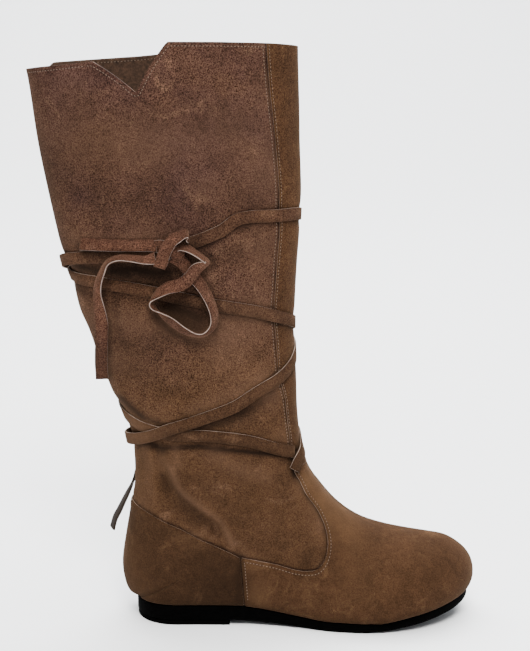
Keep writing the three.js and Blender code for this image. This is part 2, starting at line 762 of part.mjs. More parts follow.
// The loose parts of the thong, in millimetres: turn is how far its face is from facing outwards
const loopRoute = [
  { x: 44, y: -46, z: 297.9, turn: 10 },
  { x: 51, y: -45, z: 293.5, turn: 0 },
  { x: 58.2, y: -44.5, z: 284.4, turn: -20 },
  { x: 65.5, y: -45, z: 275.5, turn: -38 },
  { x: 71.9, y: -47, z: 264.2, turn: -50 },
  { x: 75.1, y: -47.5, z: 253.8, turn: -55 },
  { x: 74.3, y: -47.5, z: 245.7, turn: -62 },
  { x: 68.6, y: -48, z: 240, turn: -78 },
  { x: 62.1, y: -48, z: 240, turn: -92 },
  { x: 54.8, y: -47.5, z: 244.9, turn: -112 },
  { x: 45.1, y: -46, z: 250.8, turn: -125 },
  { x: 35.4, y: -46, z: 255.4, turn: -122 },
  { x: 29, y: -46.5, z: 260.4, turn: -108 },
  { x: 27.9, y: -47, z: 264.6, turn: -92 },
  { x: 32.5, y: -48, z: 269.7, turn: -62 },
  { x: 40.7, y: -49, z: 274.8, turn: -32 },
  { x: 50.5, y: -50, z: 277.5, turn: -8 },
  { x: 57.7, y: -50, z: 283.2, turn: 6 },
  { x: 61.8, y: -50, z: 288.9, turn: 20 },
  { x: 67.4, y: -49.5, z: 292.1, turn: 50 },
  { x: 70.2, y: -49, z: 294, turn: 74 },
  { x: 65.1, y: -49, z: 298.5, turn: 76 },
  { x: 57, y: -48.5, z: 303.7, turn: 68 },
  { x: 50.7, y: -48, z: 306.5, turn: 45 },
  { x: 45.8, y: -47, z: 305.9, turn: 20 },
];
const shortEndRoute = [
  { x: 32.9, y: -45, z: 305.5, turn: 10 },
  { x: 27, y: -44.5, z: 306.1, turn: 5 },
  { x: 8.1, y: -41.5, z: 305.5, turn: 0 },
  { x: -10.1, y: -36, z: 305.2, turn: 0 },
  { x: -25.9, y: -30, z: 304.9, turn: 0 },
];
const longEndRoute = [
  { x: 31.6, y: -49.5, z: 297.3, turn: 30 },
  { x: 24, y: -49.5, z: 296, turn: 60 },
  { x: 13.4, y: -48, z: 296.9, turn: 70 },
  { x: 3.6, y: -47, z: 296.9, turn: 75 },
  { x: -4, y: -45, z: 293.3, turn: 75 },
  { x: -8.4, y: -43, z: 285.7, turn: 65 },
  { x: -12, y: -40.5, z: 276.4, turn: 55 },
  { x: -13.1, y: -38.5, z: 267, turn: 45 },
  { x: -11.8, y: -37, z: 256, turn: 25 },
  { x: -10.6, y: -36, z: 245.8, turn: 5 },
  { x: -10.8, y: -35, z: 237.2, turn: 0 },
  { x: -11.9, y: -34, z: 216.3, turn: 0 },
  { x: -11.4, y: -34, z: 201.4, turn: 0 },
];
const tailRoute = [
  { x: 8.6, y: 15.1, z: 147, turn: 127 },
  { x: 7.6, y: 13.4, z: 137, turn: 122 },
  { x: 6.8, y: 9, z: 126, turn: 108 },
  { x: 5, y: 5, z: 116, turn: 92 },
  { x: 4.3, y: 1.5, z: 108, turn: 82 },
  { x: 3.3, y: -2, z: 101.1, turn: 76 },
  { x: 0.6, y: -5, z: 94.6, turn: 74 },
  { x: -2.9, y: -7, z: 87.8, turn: 72 },
  { x: -6.2, y: -8, z: 81.5, turn: 70 },
  { x: -8.5, y: -8, z: 73.3, turn: 68 },
];
const knotPlace = new THREE.Vector3(41.5, -47.5, 302);
const knotSize = { long: 28, wide: 17, deep: 12 };
const knotLean = 0.55;

function looseFrames(rows, stepsPerRow = 2) {
  const read = (key, at) => through(rows.map((row) => row[key]), at);
  const count = (rows.length - 1) * stepsPerRow;
  const spots = [];
  for (let i = 0; i <= count; i += 1) {
    const at = i / stepsPerRow;
    const place = new THREE.Vector3(read('x', at), read('y', at), read('z', at));
    spots.push({ place, turn: read('turn', at) });
  }
  const outward = new THREE.Vector3(0, -1, 0);
  return spots.map(({ place, turn }, i) => {
    const before = spots[Math.max(0, i - 1)].place;
    const after = spots[Math.min(count, i + 1)].place;
    const along = after.clone().sub(before).normalize();
    const out = outward.clone().addScaledVector(along, -outward.dot(along)).normalize();
    out.applyAxisAngle(along, THREE.MathUtils.degToRad(turn));
    const centre = place.clone().addScaledVector(out, -laceThickness / 2);
    return { centre, out, across: out.clone().cross(along).normalize() };
  });
}

function knotSolid(extra) {
  const geometry = new THREE.SphereGeometry(0.5, 16, 10);
  const { long, wide, deep } = knotSize;
  geometry.scale(wide + extra, deep + extra, long + extra);
  geometry.rotateY(knotLean);
  geometry.translate(knotPlace.x, knotPlace.y, knotPlace.z);
  geometry.deleteAttribute('normal');
  geometry.deleteAttribute('uv');
  return mergeVertices(geometry, 1e-4);
}

function looseEnd(rows, rooms) {
  const end = toManifold(ribbon(looseFrames(rows)));
  return fromManifold(rooms.reduce((solid, room) => solid.subtract(room), end));
}

// Materials
const suede = new THREE.MeshStandardMaterial({ color: 0x6b4a35, roughness: 0.95, metalness: 0 });
const suedeDark = new THREE.MeshStandardMaterial({ color: 0x5e402d, roughness: 0.95, metalness: 0 });
const suedeLight = new THREE.MeshStandardMaterial({ color: 0x755039, roughness: 0.95, metalness: 0 });
const insoleLeather = new THREE.MeshStandardMaterial({ color: 0x3a2a1f, roughness: 0.8, metalness: 0 });
const rubber = new THREE.MeshStandardMaterial({ color: 0x141414, roughness: 0.8, metalness: 0 });

const boot = new THREE.Group();
const cords = new THREE.Group();

function addPiece(parent, name, geometry, material) {
  const mesh = new THREE.Mesh(geometry, material);
  mesh.name = name;
  parent.add(mesh);
  return mesh;
}

const skin = upperSkin(upperLevels());
addPiece(boot, 'upper', shellBetween(skin, 0, -wall), suede);
addPiece(boot, 'vamp', buildVamp(skin), suedeLight);
addPiece(boot, 'heel_counter', buildHeelCounter(skin), suedeDark);
addPiece(boot, 'front_facing', facingShell(0), suedeLight);
addPiece(boot, 'outsole', footPlate(0, soleTop, soleBottom), rubber);
addPiece(boot, 'heel_lift', footPlate(0.5, () => heelLiftHeight - gap, () => 0, heelBreast - 1), rubber);
const insoleInset = featherInset + wall + 2 * gap;
const insoleFloor = (x) => soleTop(x) + gap;
const insoleTop = (x) => insoleFloor(x) + insoleThickness;
addPiece(boot, 'insole', footPlate(insoleInset, insoleTop, insoleFloor), insoleLeather);
addPiece(boot, 'lace_wraps', buildLaceWraps(skin), suedeLight);

const knotRoom = toManifold(knotSolid(2 * gap));
addPiece(cords, 'lace_knot', knotSolid(0), suedeLight);
addPiece(cords, 'lace_loop', looseEnd(loopRoute, [knotRoom]), suedeLight);
addPiece(cords, 'lace_end_short', looseEnd(shortEndRoute, [knotRoom]), suedeLight);
addPiece(cords, 'lace_end_long', looseEnd(longEndRoute, [knotRoom]), suedeLight);
addPiece(cords, 'lace_tail', looseEnd(tailRoute, []), suedeLight);

const part = new THREE.Group();
part.add(boot, cords);
const box = new THREE.Box3().setFromObject(boot);
const centre = box.getCenter(new THREE.Vector3());
part.position.set(-centre.x, -centre.y, -box.min.z);
part.updateMatrixWorld(true);

export default part;
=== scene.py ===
import math

import bmesh
import bpy
import numpy as np
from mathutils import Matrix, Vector


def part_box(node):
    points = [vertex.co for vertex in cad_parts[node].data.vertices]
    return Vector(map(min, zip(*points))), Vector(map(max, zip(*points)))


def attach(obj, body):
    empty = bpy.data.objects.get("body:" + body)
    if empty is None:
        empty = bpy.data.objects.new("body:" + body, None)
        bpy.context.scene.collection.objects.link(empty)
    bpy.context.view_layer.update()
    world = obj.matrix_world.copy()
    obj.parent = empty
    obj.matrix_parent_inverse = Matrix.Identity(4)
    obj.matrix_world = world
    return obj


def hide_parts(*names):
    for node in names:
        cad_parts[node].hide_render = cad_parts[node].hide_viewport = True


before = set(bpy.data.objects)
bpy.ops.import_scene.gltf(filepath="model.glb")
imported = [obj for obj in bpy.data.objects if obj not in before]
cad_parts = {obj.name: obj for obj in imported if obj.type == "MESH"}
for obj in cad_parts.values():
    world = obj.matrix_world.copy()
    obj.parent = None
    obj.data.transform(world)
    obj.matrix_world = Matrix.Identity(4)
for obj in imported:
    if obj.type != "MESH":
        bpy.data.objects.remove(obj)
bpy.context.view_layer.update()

# The right boot of a pair of tall suede folk boots. The shape is worked out in millimetres with
# x from the back of the heel, as in the part's source, and moved into the row frame when a mesh
# is made. The toe is along +X and the outer side along -Y, towards the camera.

# Driving sizes, in millimetres
FOOT_LENGTH = 280.0
BALL_WIDTH = 98.0
HEEL_WIDTH = 64.0
INSTEP_HEIGHT = 122.0
BOOT_HEIGHT = 455.0
SHAFT_DEPTH = 201.0
SHAFT_THICKNESS = 80.0
WALL = 2.0

SOLE_HEEL_BACK = 10.0
TOE_OVERHANG = 3.0
SOLE_TOE = FOOT_LENGTH - TOE_OVERHANG
SOLE_AT_BALL = 7.5
SOLE_AT_HEEL = 12.0
HEEL_LIFT = 4.0
HEEL_BREAST = 86.0
TOE_SPRING = 14.0
FEATHER_INSET = 3.0
TOE_TIP_SIDE = 8.0

GAP = 0.3
FEATHER_GAP = 0.6
VAMP_THICKNESS = 1.4
COUNTER_THICKNESS = 0.8
FACING_OFFSET = 0.35
FACING_THICKNESS = 1.2
INSOLE_THICKNESS = 3.0

LACE_WIDTH = 9.5
LACE_THICKNESS = 1.8

# Where the part's source puts its own zero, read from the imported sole
SOLE_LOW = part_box("outsole")[0]
SHIFT = np.array([SOLE_LOW.x * 1000 - SOLE_HEEL_BACK, SOLE_LOW.y * 1000 + BALL_WIDTH / 2, 0.0])

SHAFT_RISE = BOOT_HEIGHT - INSTEP_HEIGHT

# The shaft: front, rise, depth, back_rise, half thickness, roundness
SHAFT = [
    (0.486, 1.07, 1.04, 1.01, 0.5, 1.95),
    (0.486, 0.955, 1.005, 0.91, 0.506, 1.95),
    (0.493, 0.79, 0.978, 0.751, 0.519, 2.0),
    (0.496, 0.64, 0.943, 0.619, 0.519, 2.0),
    (0.486, 0.49, 0.878, 0.484, 0.5, 2.05),
    (0.48, 0.354, 0.796, 0.354, 0.475, 2.1),
    (0.484, 0.234, 0.737, 0.234, 0.444, 2.15),
    (0.488, 0.144, 0.674, 0.144, 0.425, 2.2),
]

# The ankle and heel: x, z, back x, back z, half width, roundness
HEEL = [
    (0.498, 1.213, 0.029, 1.165, 1.015, 2.35),
    (0.507, 1.11, 0.034, 0.943, 1.03, 2.5),
    (0.5135, 1.045, 0.025, 0.738, 1.06, 2.65),
    (0.5195, 1.0, 0.0105, 0.541, 1.09, 2.75),
    (0.5265, 0.966, 0.0, 0.377, 1.105, 2.8),
    (0.5335, 0.938, 0.003, 0.262, 1.105, 2.85),
    (0.541, 0.912, 0.016, 0.172, 1.105, 2.9),
]

# The foot: x, z, place on the sole's outline, side of the ridge, outer, inner, widest, round, low round
FOOT = [
    (0.549, 0.886, 0.0, 0.04, 0.74, 0.72, 0.56, 2.95, 2.7),
    (0.558, 0.858, 0.33, 0.05, 0.75, 0.7, 0.58, 3.0, 2.6),
    (0.571, 0.82, 0.66, 0.05, 0.76, 0.67, 0.6, 3.0, 2.5),
    (0.588, 0.775, 1.0, 0.06, 0.78, 0.63, 0.6, 2.9, 2.4),
    (0.612, 0.722, 1.2, 0.07, 0.8, 0.6, 0.62, 2.7, 2.3),
    (0.645, 0.665, 1.4, 0.08, 0.86, 0.6, 0.64, 2.5, 2.2),
    (0.69, 0.61, 1.6, 0.09, 0.96, 0.66, 0.66, 2.3, 2.1),
    (0.75, 0.565, 1.75, 0.1, 1.08, 0.76, 0.68, 2.15, 2.0),
    (0.814, 0.534, 1.85, 0.11, 1.15, 0.83, 0.7, 2.05, 2.0),
    (0.875, 0.509, 1.91, 0.12, 1.18, 0.85, 0.73, 2.0, 2.0),
    (0.928, 0.48, 1.945, 0.14, 1.2, 0.84, 0.77, 2.0, 2.0),
    (0.968, 0.42, 1.965, 0.15, 1.21, 0.82, 0.82, 2.0, 2.0),
    (0.993, 0.355, 1.98, 0.16, 1.21, 0.81, 0.88, 2.0, 2.0),
    (1.0, 0.29, 1.99, 0.16, 1.2, 0.8, 0.93, 2.0, 2.0),
    (0.993, 0.228, 1.995, 0.16, 1.16, 0.76, 0.97, 2.0, 2.0),
]

# The sole's outline from heel to ball: outer and inner half widths as shares of the plain taper
WAIST = {-1: (1, 1, 0.96, 0.915, 0.97, 1), 1: (0.96, 0.9, 0.74, 0.7, 0.82, 0.92)}

# The collar: shares of each side from front to back, and the level of the edge there
COLLAR = {
    -1: ((0, 0.14, 0.3, 0.463, 0.575, 0.705, 1), (0.76, 0.64, 0.53, 0.43, 1.27, 0.71, 0.78)),
    1: ((0, 0.14, 0.3, 0.585, 0.872, 0.885, 1), (0.76, 0.72, 0.7, 0.73, 0.7, 0.77, 0.78)),
}

VAMP_OUTLINE = [
    (0.503, 1.06), (0.484, 1.018), (0.501, 0.941), (0.521, 0.85), (0.549, 0.762),
    (0.571, 0.657), (0.579, 0.557), (0.571, 0.467), (0.552, 0.411), (0.528, 0.394),
    (0.489, 0.398), (0.436, 0.429), (0.384, 0.453), (0.336, 0.475),
]
# Where the vamp's back edge meets the sole
VAMP_BACK_FOOT = 0.35

COUNTER_OUTLINE = [
    (-0.03, 0.845), (0.03, 0.797), (0.081, 0.75), (0.129, 0.701), (0.176, 0.659),
    (0.222, 0.6), (0.268, 0.552), (0.312, 0.504), (0.336, 0.475),
]

FACING_LEVELS = (0, 1.4, 2.9, 3.3, 4.6, 5.8, 6.6, 8.6)
FACING_WIDTHS = (0.15, 0.144, 0.125, 0.121, 0.142, 0.14, 0.115, 0.12)
FACING_END = 8.6


# Curves through tables
def catmull(a, b, c, d, t):
    return 0.5 * (
        2 * b + (c - a) * t + (2 * a - 5 * b + 4 * c - d) * t**2 + (3 * b - a - 3 * c + d) * t**3
    )


def through(values, at, flat=False):
    """A smooth curve through equally spaced values; flat makes it level at both ends."""
    values = np.asarray(values, float)
    last = len(values) - 1
    at = np.clip(np.asarray(at, float), 0, last)
    i = np.minimum(at.astype(int), last - 1)
    before = values[1] if flat else 2 * values[0] - values[1]
    after = values[-2] if flat else 2 * values[-1] - values[-2]
    padded = np.concatenate([[before], values, [after]])
    t = at - i
    if values.ndim > 1:
        t = t[..., None]
    return catmull(padded[i], padded[i + 1], padded[i + 2], padded[i + 3], t)


def smooth(value):
    t = np.clip(value, 0, 1)
    return t * t * (3 - 2 * t)


def lerp(a, b, t):
    return a + (b - a) * t


def bell(distance, width):
    return np.exp(-((distance / width) ** 2))


def unit(vectors):
    return vectors / np.linalg.norm(vectors, axis=1, keepdims=True)


def square_to(outs, tangents):
    """The directions turned square to the tangents."""
    return unit(outs - tangents * (outs * tangents).sum(axis=1, keepdims=True))


def run_length(points):
    """How far along a line each of its points lies."""
    return np.concatenate([[0], np.linalg.norm(np.diff(points, axis=0), axis=1).cumsum()])


def fine_rows(rows, steps):
    """A smooth curve through the rows, with this many steps from each to the next."""
    return through(np.array(rows, float), np.linspace(0, len(rows) - 1, (len(rows) - 1) * steps + 1))


# The sole's heights and outline
SHANK_START = 0.31 * FOOT_LENGTH
SHANK_END = 0.59 * FOOT_LENGTH
TOE_RISE_START = 0.68 * FOOT_LENGTH
TOE_RISE_POWER = 1.3
HEEL_ROUND_X = SOLE_HEEL_BACK + HEEL_WIDTH / 2
BALL_X = 0.715 * FOOT_LENGTH
# From heel to ball, where the plain taper starts and the share it takes
TAPER_START, TAPER_SHARE = 0.25, 0.65


def toe_rise(x):
    share = np.clip((x - TOE_RISE_START) / (SOLE_TOE - TOE_RISE_START), 0, 1)
    return TOE_SPRING * share**TOE_RISE_POWER


def sole_top(x):
    fall = smooth((x - SHANK_START) / (SHANK_END - SHANK_START))
    return lerp(SOLE_AT_HEEL + HEEL_LIFT, SOLE_AT_BALL, fall) + toe_rise(x)


def sole_bottom(x):
    return HEEL_LIFT * (1 - smooth((x - HEEL_BREAST) / (SHANK_END - HEEL_BREAST))) + toe_rise(x)


def outline(place, side, inset):
    """The sole's outline: place 0 heel back, 1 end of the heel's round, 2 ball, 3 toe tip."""
    place = np.asarray(place, float)
    shares = np.array(WAIST[side], float)
    along = np.linspace(0, 1, len(shares))
    widths = shares * lerp(HEEL_WIDTH / 2, BALL_WIDTH / 2, smooth((along - TAPER_START) / TAPER_SHARE))
    heel = np.clip(place, 0, 1) * math.pi / 2
    waist = np.clip(place - 1, 0, 1)
    toe = np.clip(place - 2, 0, 1) * math.pi / 2
    tip = side * TOE_TIP_SIDE
    x = np.select(
        [place <= 1, place <= 2],
        [
            HEEL_ROUND_X - (HEEL_ROUND_X - SOLE_HEEL_BACK - inset) * np.cos(heel),
            lerp(HEEL_ROUND_X, BALL_X, waist),
        ],
        BALL_X + (SOLE_TOE - inset - BALL_X) * np.sin(toe),
    )
    y = np.select(
        [place <= 1, place <= 2],
        [
            (widths[0] - inset) * np.sin(heel),
            through(widths, waist * (len(widths) - 1), flat=True) - inset,
        ],
        tip + (widths[-1] - inset - tip) * np.cos(toe),
    )
    return x, side * y


# The upper's outer face as a table of points over side, level and share of the half girth
def section_rows():
    rows = []
    for front, rise, depth, back_rise, half, roundness in SHAFT:
        x = front * FOOT_LENGTH
        half *= SHAFT_THICKNESS
        rows.append((
            x, 0, INSTEP_HEIGHT + rise * SHAFT_RISE, x - depth * SHAFT_DEPTH,
            INSTEP_HEIGHT + back_rise * SHAFT_RISE, half, half, 0.5, roundness, roundness, 0,
        ))
    for x, z, back_x, back_z, half, roundness in HEEL:
        half *= HEEL_WIDTH / 2
        rows.append((
            x * FOOT_LENGTH, 1, z * INSTEP_HEIGHT, back_x * FOOT_LENGTH, back_z * INSTEP_HEIGHT,
            half, half, 0.52, roundness, roundness - 0.25, 0,
        ))
    feather = float(outline(0, 1, FEATHER_INSET)[0])
    feather_z = float(sole_top(feather)) + FEATHER_GAP
    half_ball = BALL_WIDTH / 2
    for x, z, place, side, outer, inner, widest, roundness, low_round in FOOT:
        rows.append((
            x * FOOT_LENGTH, side * half_ball, z * INSTEP_HEIGHT, feather, feather_z,
            outer * half_ball, inner * half_ball, widest, roundness, low_round, place,
        ))
    tip_x, tip_y = (float(v) for v in outline(3, 1, FEATHER_INSET))
    rows.append((
        tip_x, tip_y, float(sole_top(tip_x)) + FEATHER_GAP, feather, feather_z,
        tip_y - float(outline(2, -1, FEATHER_INSET)[1]), float(outline(2, 1, FEATHER_INSET)[1]) - tip_y,
        1, 2, 2, 2,
    ))
    return np.array(rows, float)


HEEL_LEVEL = len(SHAFT) + len(HEEL)
TOE_LEVEL = HEEL_LEVEL + len(FOOT)
SINK_ROWS = 4
LEVEL_STEP = 0.05
SHARE_COUNT = 201
FINE_STEPS = 140


def section_lines(levels, side):
    """Every section at these levels as a fine line from the ridge to the back or the sole."""
    row = through(section_rows(), levels)
    front_x, front_y, front_z, end_x, end_z, outer, inner, widest, top_round, low_round, place = row.T
    open_foot = levels > HEEL_LEVEL
    place = np.where(open_foot, np.clip(place, 0, 2), 0)
    widest = np.minimum(1, widest)
    foot_x, foot_y = outline(place, side, FEATHER_INSET)
    end_x = np.where(open_foot, foot_x, end_x)
    end_y = np.where(open_foot, foot_y, 0)
    end_z = np.where(open_foot, sole_top(foot_x) + FEATHER_GAP, end_z)
    reach = side * (end_y - front_y)
    width = outer if side < 0 else inner
    angle = np.linspace(0, math.pi / 2, FINE_STEPS + 1)[None, :]

    def col(values):
        return values[:, None]

    first_t = col(widest) * (1 - np.cos(angle) ** col(2 / top_round))
    first_w = col(width) * np.sin(angle) ** col(2 / top_round)
    second_t = col(widest) + col(1 - widest) * np.sin(angle) ** col(2 / low_round)
    second_w = col(reach) + col(width - reach) * np.abs(np.cos(angle)) ** col(2 / low_round)
    t = np.concatenate([first_t, second_t[:, 1:]], axis=1)
    w = np.concatenate([first_w, second_w[:, 1:]], axis=1)
    x = lerp(col(front_x), col(end_x), t)
    y = col(front_y) + side * w
    z = lerp(col(front_z), col(end_z), t)
    sink = np.clip(1 - (TOE_LEVEL - levels) / SINK_ROWS, 0, 1)[:, None] ** 2
    z = lerp(z, np.minimum(z, sole_top(x) + FEATHER_GAP), sink)
    return np.stack([x, y, z], axis=2)


def build_table(side):
    levels = np.arange(0, TOE_LEVEL + LEVEL_STEP / 2, LEVEL_STEP)
    lines = section_lines(levels, side)
    steps = np.linalg.norm(np.diff(lines, axis=1), axis=2)
    lengths = np.concatenate([np.zeros((len(levels), 1)), steps.cumsum(axis=1)], axis=1)
    shares = np.linspace(0, 1, SHARE_COUNT)
    table = np.empty((len(levels), SHARE_COUNT, 3))
    for i, line in enumerate(lines):
        for axis in range(3):
            table[i, :, axis] = np.interp(shares * lengths[i, -1], lengths[i], line[:, axis])
    return table


TABLES = {side: build_table(side) for side in (-1, 1)}


def read_table(table, share, level):
    """Bicubic reading of a table of points."""
    rows, columns = table.shape[:2]
    v = np.clip(level / LEVEL_STEP, 0, rows - 1.000001)
    u = np.clip(share * (SHARE_COUNT - 1), 0, columns - 1.000001)
    i, j = v.astype(int), u.astype(int)
    tv, tu = (v - i)[..., None], (u - j)[..., None]
    across = []
    for di in (-1, 0, 1, 2):
        r = np.clip(i + di, 0, rows - 1)
        across.append(catmull(*(table[r, np.clip(j + dj, 0, columns - 1)] for dj in (-1, 0, 1, 2)), tu))
    return catmull(*across, tv)


def wrap_around(around):
    """Round the shaft the same place comes back every 2: 1.2 is -0.8."""
    return (np.asarray(around, float) + 1) % 2 - 1


def surface(around, level):
    """Points of the plain outer face: around 0 front, -1 outer end, 1 inner end."""
    around, level = np.broadcast_arrays(np.asarray(around, float), np.asarray(level, float))
    share = np.abs(around)
    outer = read_table(TABLES[-1], share, level)
    inner = read_table(TABLES[1], share, level)
    return np.where((around < 0)[..., None], outer, inner)


# Folds, soft ridges and troughs: outer (-1) or inner (1) side, width and height in millimetres,
# and a line seen from the side, in shares of length and of boot height
FOLDS = [
    # the long diagonal ridge from the ankle's back to the counter, and the trough beside it
    (-1, 3.2, 2.8, [(0.144, 0.283), (0.167, 0.248), (0.222, 0.219), (0.277, 0.193), (0.31, 0.155)]),
    (-1, 6, -2.4, [(0.115, 0.26), (0.15, 0.222), (0.2, 0.2), (0.262, 0.178)]),
    (-1, 7, -1.0, [(0.2, 0.262), (0.26, 0.235), (0.32, 0.19)]),
    # upright wrinkles under the lower laces
    (-1, 4, -1.5, [(0.1, 0.315), (0.114, 0.285), (0.127, 0.25)]),
    (-1, 5, 1.4, [(0.075, 0.315), (0.085, 0.28), (0.09, 0.24)]),
    (-1, 4, 1.5, [(0.156, 0.32), (0.164, 0.29)]),
    (-1, 7, 1.6, [(0.26, 0.31), (0.33, 0.285), (0.4, 0.27)]),
    # the shaft sags over the lower laces at the back
    (-1, 6, 1.0, [(-0.01, 0.41), (0.03, 0.385), (0.08, 0.372), (0.14, 0.37)]),
    (-1, 9, -1.5, [(0.0, 0.455), (0.09, 0.43), (0.17, 0.42)]),
    (-1, 7, 1.3, [(0.2, 0.39), (0.3, 0.415), (0.4, 0.45)]),
    (1, 7, 1.4, [(-0.01, 0.41), (0.1, 0.37), (0.2, 0.36)]),
    # slack under the knot, and waves in the upper shaft
    (-1, 9, -2.4, [(-0.15, 0.61), (0.0, 0.6), (0.12, 0.605)]),
    (-1, 8, -1.5, [(0.2, 0.635), (0.3, 0.65), (0.4, 0.66)]),
    (-1, 12, 1.6, [(-0.1, 0.55), (0.1, 0.54), (0.3, 0.525)]),
    (-1, 22, 1.2, [(-0.1, 0.85), (0.1, 0.84), (0.3, 0.86)]),
    (-1, 18, -1.4, [(0.0, 0.73), (0.2, 0.75), (0.4, 0.73)]),
    (-1, 8, 1.2, [(-0.1, 0.68), (0.0, 0.675), (0.1, 0.685)]),
    (1, 20, -1.4, [(-0.05, 0.8), (0.2, 0.78), (0.45, 0.82)]),
    (1, 5, 2.2, [(0.15, 0.26), (0.24, 0.225), (0.31, 0.18)]),
    (1, 6, -1.8, [(0.2, 0.27), (0.28, 0.235)]),
    # the vamp's flex over the toes
    (-1, 8, -0.9, [(0.66, 0.135), (0.68, 0.1), (0.67, 0.07)]),
    (1, 8, -0.9, [(0.66, 0.135), (0.69, 0.1), (0.68, 0.07)]),
    (-1, 6, -0.9, [(0.58, 0.165), (0.6, 0.14), (0.6, 0.11)]),
    (1, 6, -0.9, [(0.58, 0.165), (0.6, 0.14), (0.6, 0.11)]),
]


def distance_to_line(points, line):
    """Distance of each 2-D point from a line of 2-D points."""
    best = np.full(len(points), 1e9)
    for a, b in zip(line[:-1], line[1:]):
        a, b = np.asarray(a, float), np.asarray(b, float)
        along = b - a
        t = np.clip(((points - a) @ along) / (along @ along), 0, 1)
        best = np.minimum(best, np.linalg.norm(points - a - t[:, None] * along, axis=1))
    return best


def smooth_line(rows, scale_x, scale_z, steps=8):
    return fine_rows(np.array(rows, float) * [scale_x, scale_z], steps)


def inside_polygon(points, polygon):
    """Signed distance in millimetres, more than 0 inside."""
    x, z = points.T
    inside = np.zeros(len(points), bool)
    for (ax, az), (bx, bz) in zip(polygon, np.roll(polygon, -1, axis=0)):
        with np.errstate(divide="ignore", invalid="ignore"):
            hit = x < (bx - ax) * (z - az) / (bz - az) + ax
        inside ^= ((az > z) != (bz > z)) & hit
    distance = distance_to_line(points, np.vstack([polygon, polygon[:1]]))
    return np.where(inside, distance, -distance)


# How far an outline goes below the sole's edge and past the toe and heel, and the gap at a seam
BELOW_EDGE, PAST_TOE, PAST_HEEL, SEAM_GAP = 6, 10, 20, (0.8, 0.6)


def above_sole(from_x, to_x, steps=40):
    """The sole's upper edge as a side of a polygon, a little below it."""
    x = np.linspace(from_x, to_x, steps)
    return np.stack([x, sole_top(x) - BELOW_EDGE], axis=1)


VAMP_POLYGON = np.vstack([
    smooth_line(VAMP_OUTLINE, FOOT_LENGTH, INSTEP_HEIGHT),
    above_sole(VAMP_BACK_FOOT * FOOT_LENGTH, FOOT_LENGTH + PAST_TOE),
    [[FOOT_LENGTH + PAST_TOE, VAMP_OUTLINE[0][1] * INSTEP_HEIGHT]],
])
COUNTER_SEAM = smooth_line(COUNTER_OUTLINE, FOOT_LENGTH, INSTEP_HEIGHT)
COUNTER_POLYGON = np.vstack([
    COUNTER_SEAM - SEAM_GAP,
    above_sole(VAMP_BACK_FOOT * FOOT_LENGTH - SEAM_GAP[0], -PAST_HEEL),
])


# The two runs of thong round the shaft: around, level. around goes on counting round the back.
WRAP_ONE = [
    (-0.113, 8.67), (-0.256, 8.03), (-0.363, 7.73), (-0.531, 7.56), (-0.7, 7.55), (-0.838, 7.38),
    (-0.969, 7.03), (-1.25, 6.35), (-1.5, 5.85), (-1.75, 5.4), (-2, 5.02), (-2.206, 4.72),
    (-2.381, 4.55), (-2.606, 4.33), (-2.806, 4.21), (-2.969, 4.16), (-3.25, 3.95), (-3.5, 3.72),
    (-3.75, 3.45), (-4, 3.22), (-4.131, 3.18), (-4.269, 3.18), (-4.338, 3.35), (-4.431, 3.5),
    (-4.52, 3.6),
]
WRAP_TWO = [
    (-0.138, 10.04), (-0.106, 9.31), (-0.02, 8.5), (0.1, 7.8), (0.3, 7.5), (0.5, 7.6),
    (0.75, 7.75), (1.025, 7.81), (1.194, 7.6), (1.306, 7.34), (1.444, 7.08), (1.625, 6.7),
    (1.737, 6.35), (1.862, 6.01), (1.931, 5.79), (2, 5.55), (2.15, 5.25), (2.5, 4.75),
    (2.75, 4.3), (3.0, 3.9), (3.137, 3.78), (3.262, 3.73), (3.375, 3.71), (3.44, 3.68),
]


def wrap_line(rows, step=2.0):
    """around and level along a run, at even steps of its own length."""
    spots = through(np.array(rows, float), np.linspace(0, len(rows) - 1, 60 * len(rows)))
    length = run_length(surface(wrap_around(spots[:, 0]), spots[:, 1]))
    even = np.linspace(0, length[-1], int(length[-1] / step) + 1)
    return np.stack([np.interp(even, length, spots[:, k]) for k in (0, 1)], axis=1)


WRAPS = [wrap_line(WRAP_ONE), wrap_line(WRAP_TWO)]
WRAP_POINTS = [surface(wrap_around(w[:, 0]), w[:, 1]) for w in WRAPS]


def nearest_distance(points, targets, chunk=4000):
    """Distance of each point from the nearest target."""
    best = np.empty(len(points))
    for start in range(0, len(points), chunk):
        block = points[start : start + chunk]
        gaps = ((block[:, None, :] - targets[None]) ** 2).sum(axis=2)
        best[start : start + chunk] = np.sqrt(gaps.min(axis=1))
    return best


# The thong draws the suede in, the leather is full beside a closed seam, and all of it is uneven
CINCH_DEPTH, CINCH_WIDTH = 1.3, 9.0
SWELL, SWELL_FROM_SEAM, SWELL_WIDTH = 0.5, 4, 3
UNEVEN = 0.45
SIDE_FADE = 12


def fold_relief(points):
    """The folds alone, in millimetres out."""
    out = np.zeros(len(points))
    for side, width, height, line in FOLDS:
        near = distance_to_line(points[:, [0, 2]], smooth_line(line, FOOT_LENGTH, BOOT_HEIGHT, 6))
        out += height * bell(near, width) * smooth((side * points[:, 1] + 4) / SIDE_FADE)
    return out


def relief(points):
    """How far the outer face stands out or in from the plain surface, in millimetres."""
    x, y, z = points.T
    out = fold_relief(points)
    for line in WRAP_POINTS:
        out -= CINCH_DEPTH * bell(nearest_distance(points, line[::3]), CINCH_WIDTH)
    seam = distance_to_line(points[:, [0, 2]], COUNTER_SEAM)
    out += SWELL * bell(seam - SWELL_FROM_SEAM, SWELL_WIDTH)
    wave_along = np.sin(x / 23 + 1.3 * np.sin(z / 41))
    wave_up = np.sin(z / 37 + 0.8 * np.sin(x / 29 + y / 17))
    out += UNEVEN * wave_along * wave_up
    # none at the sole's edge
    return out * smooth((z - sole_top(x) - 4) / 12)


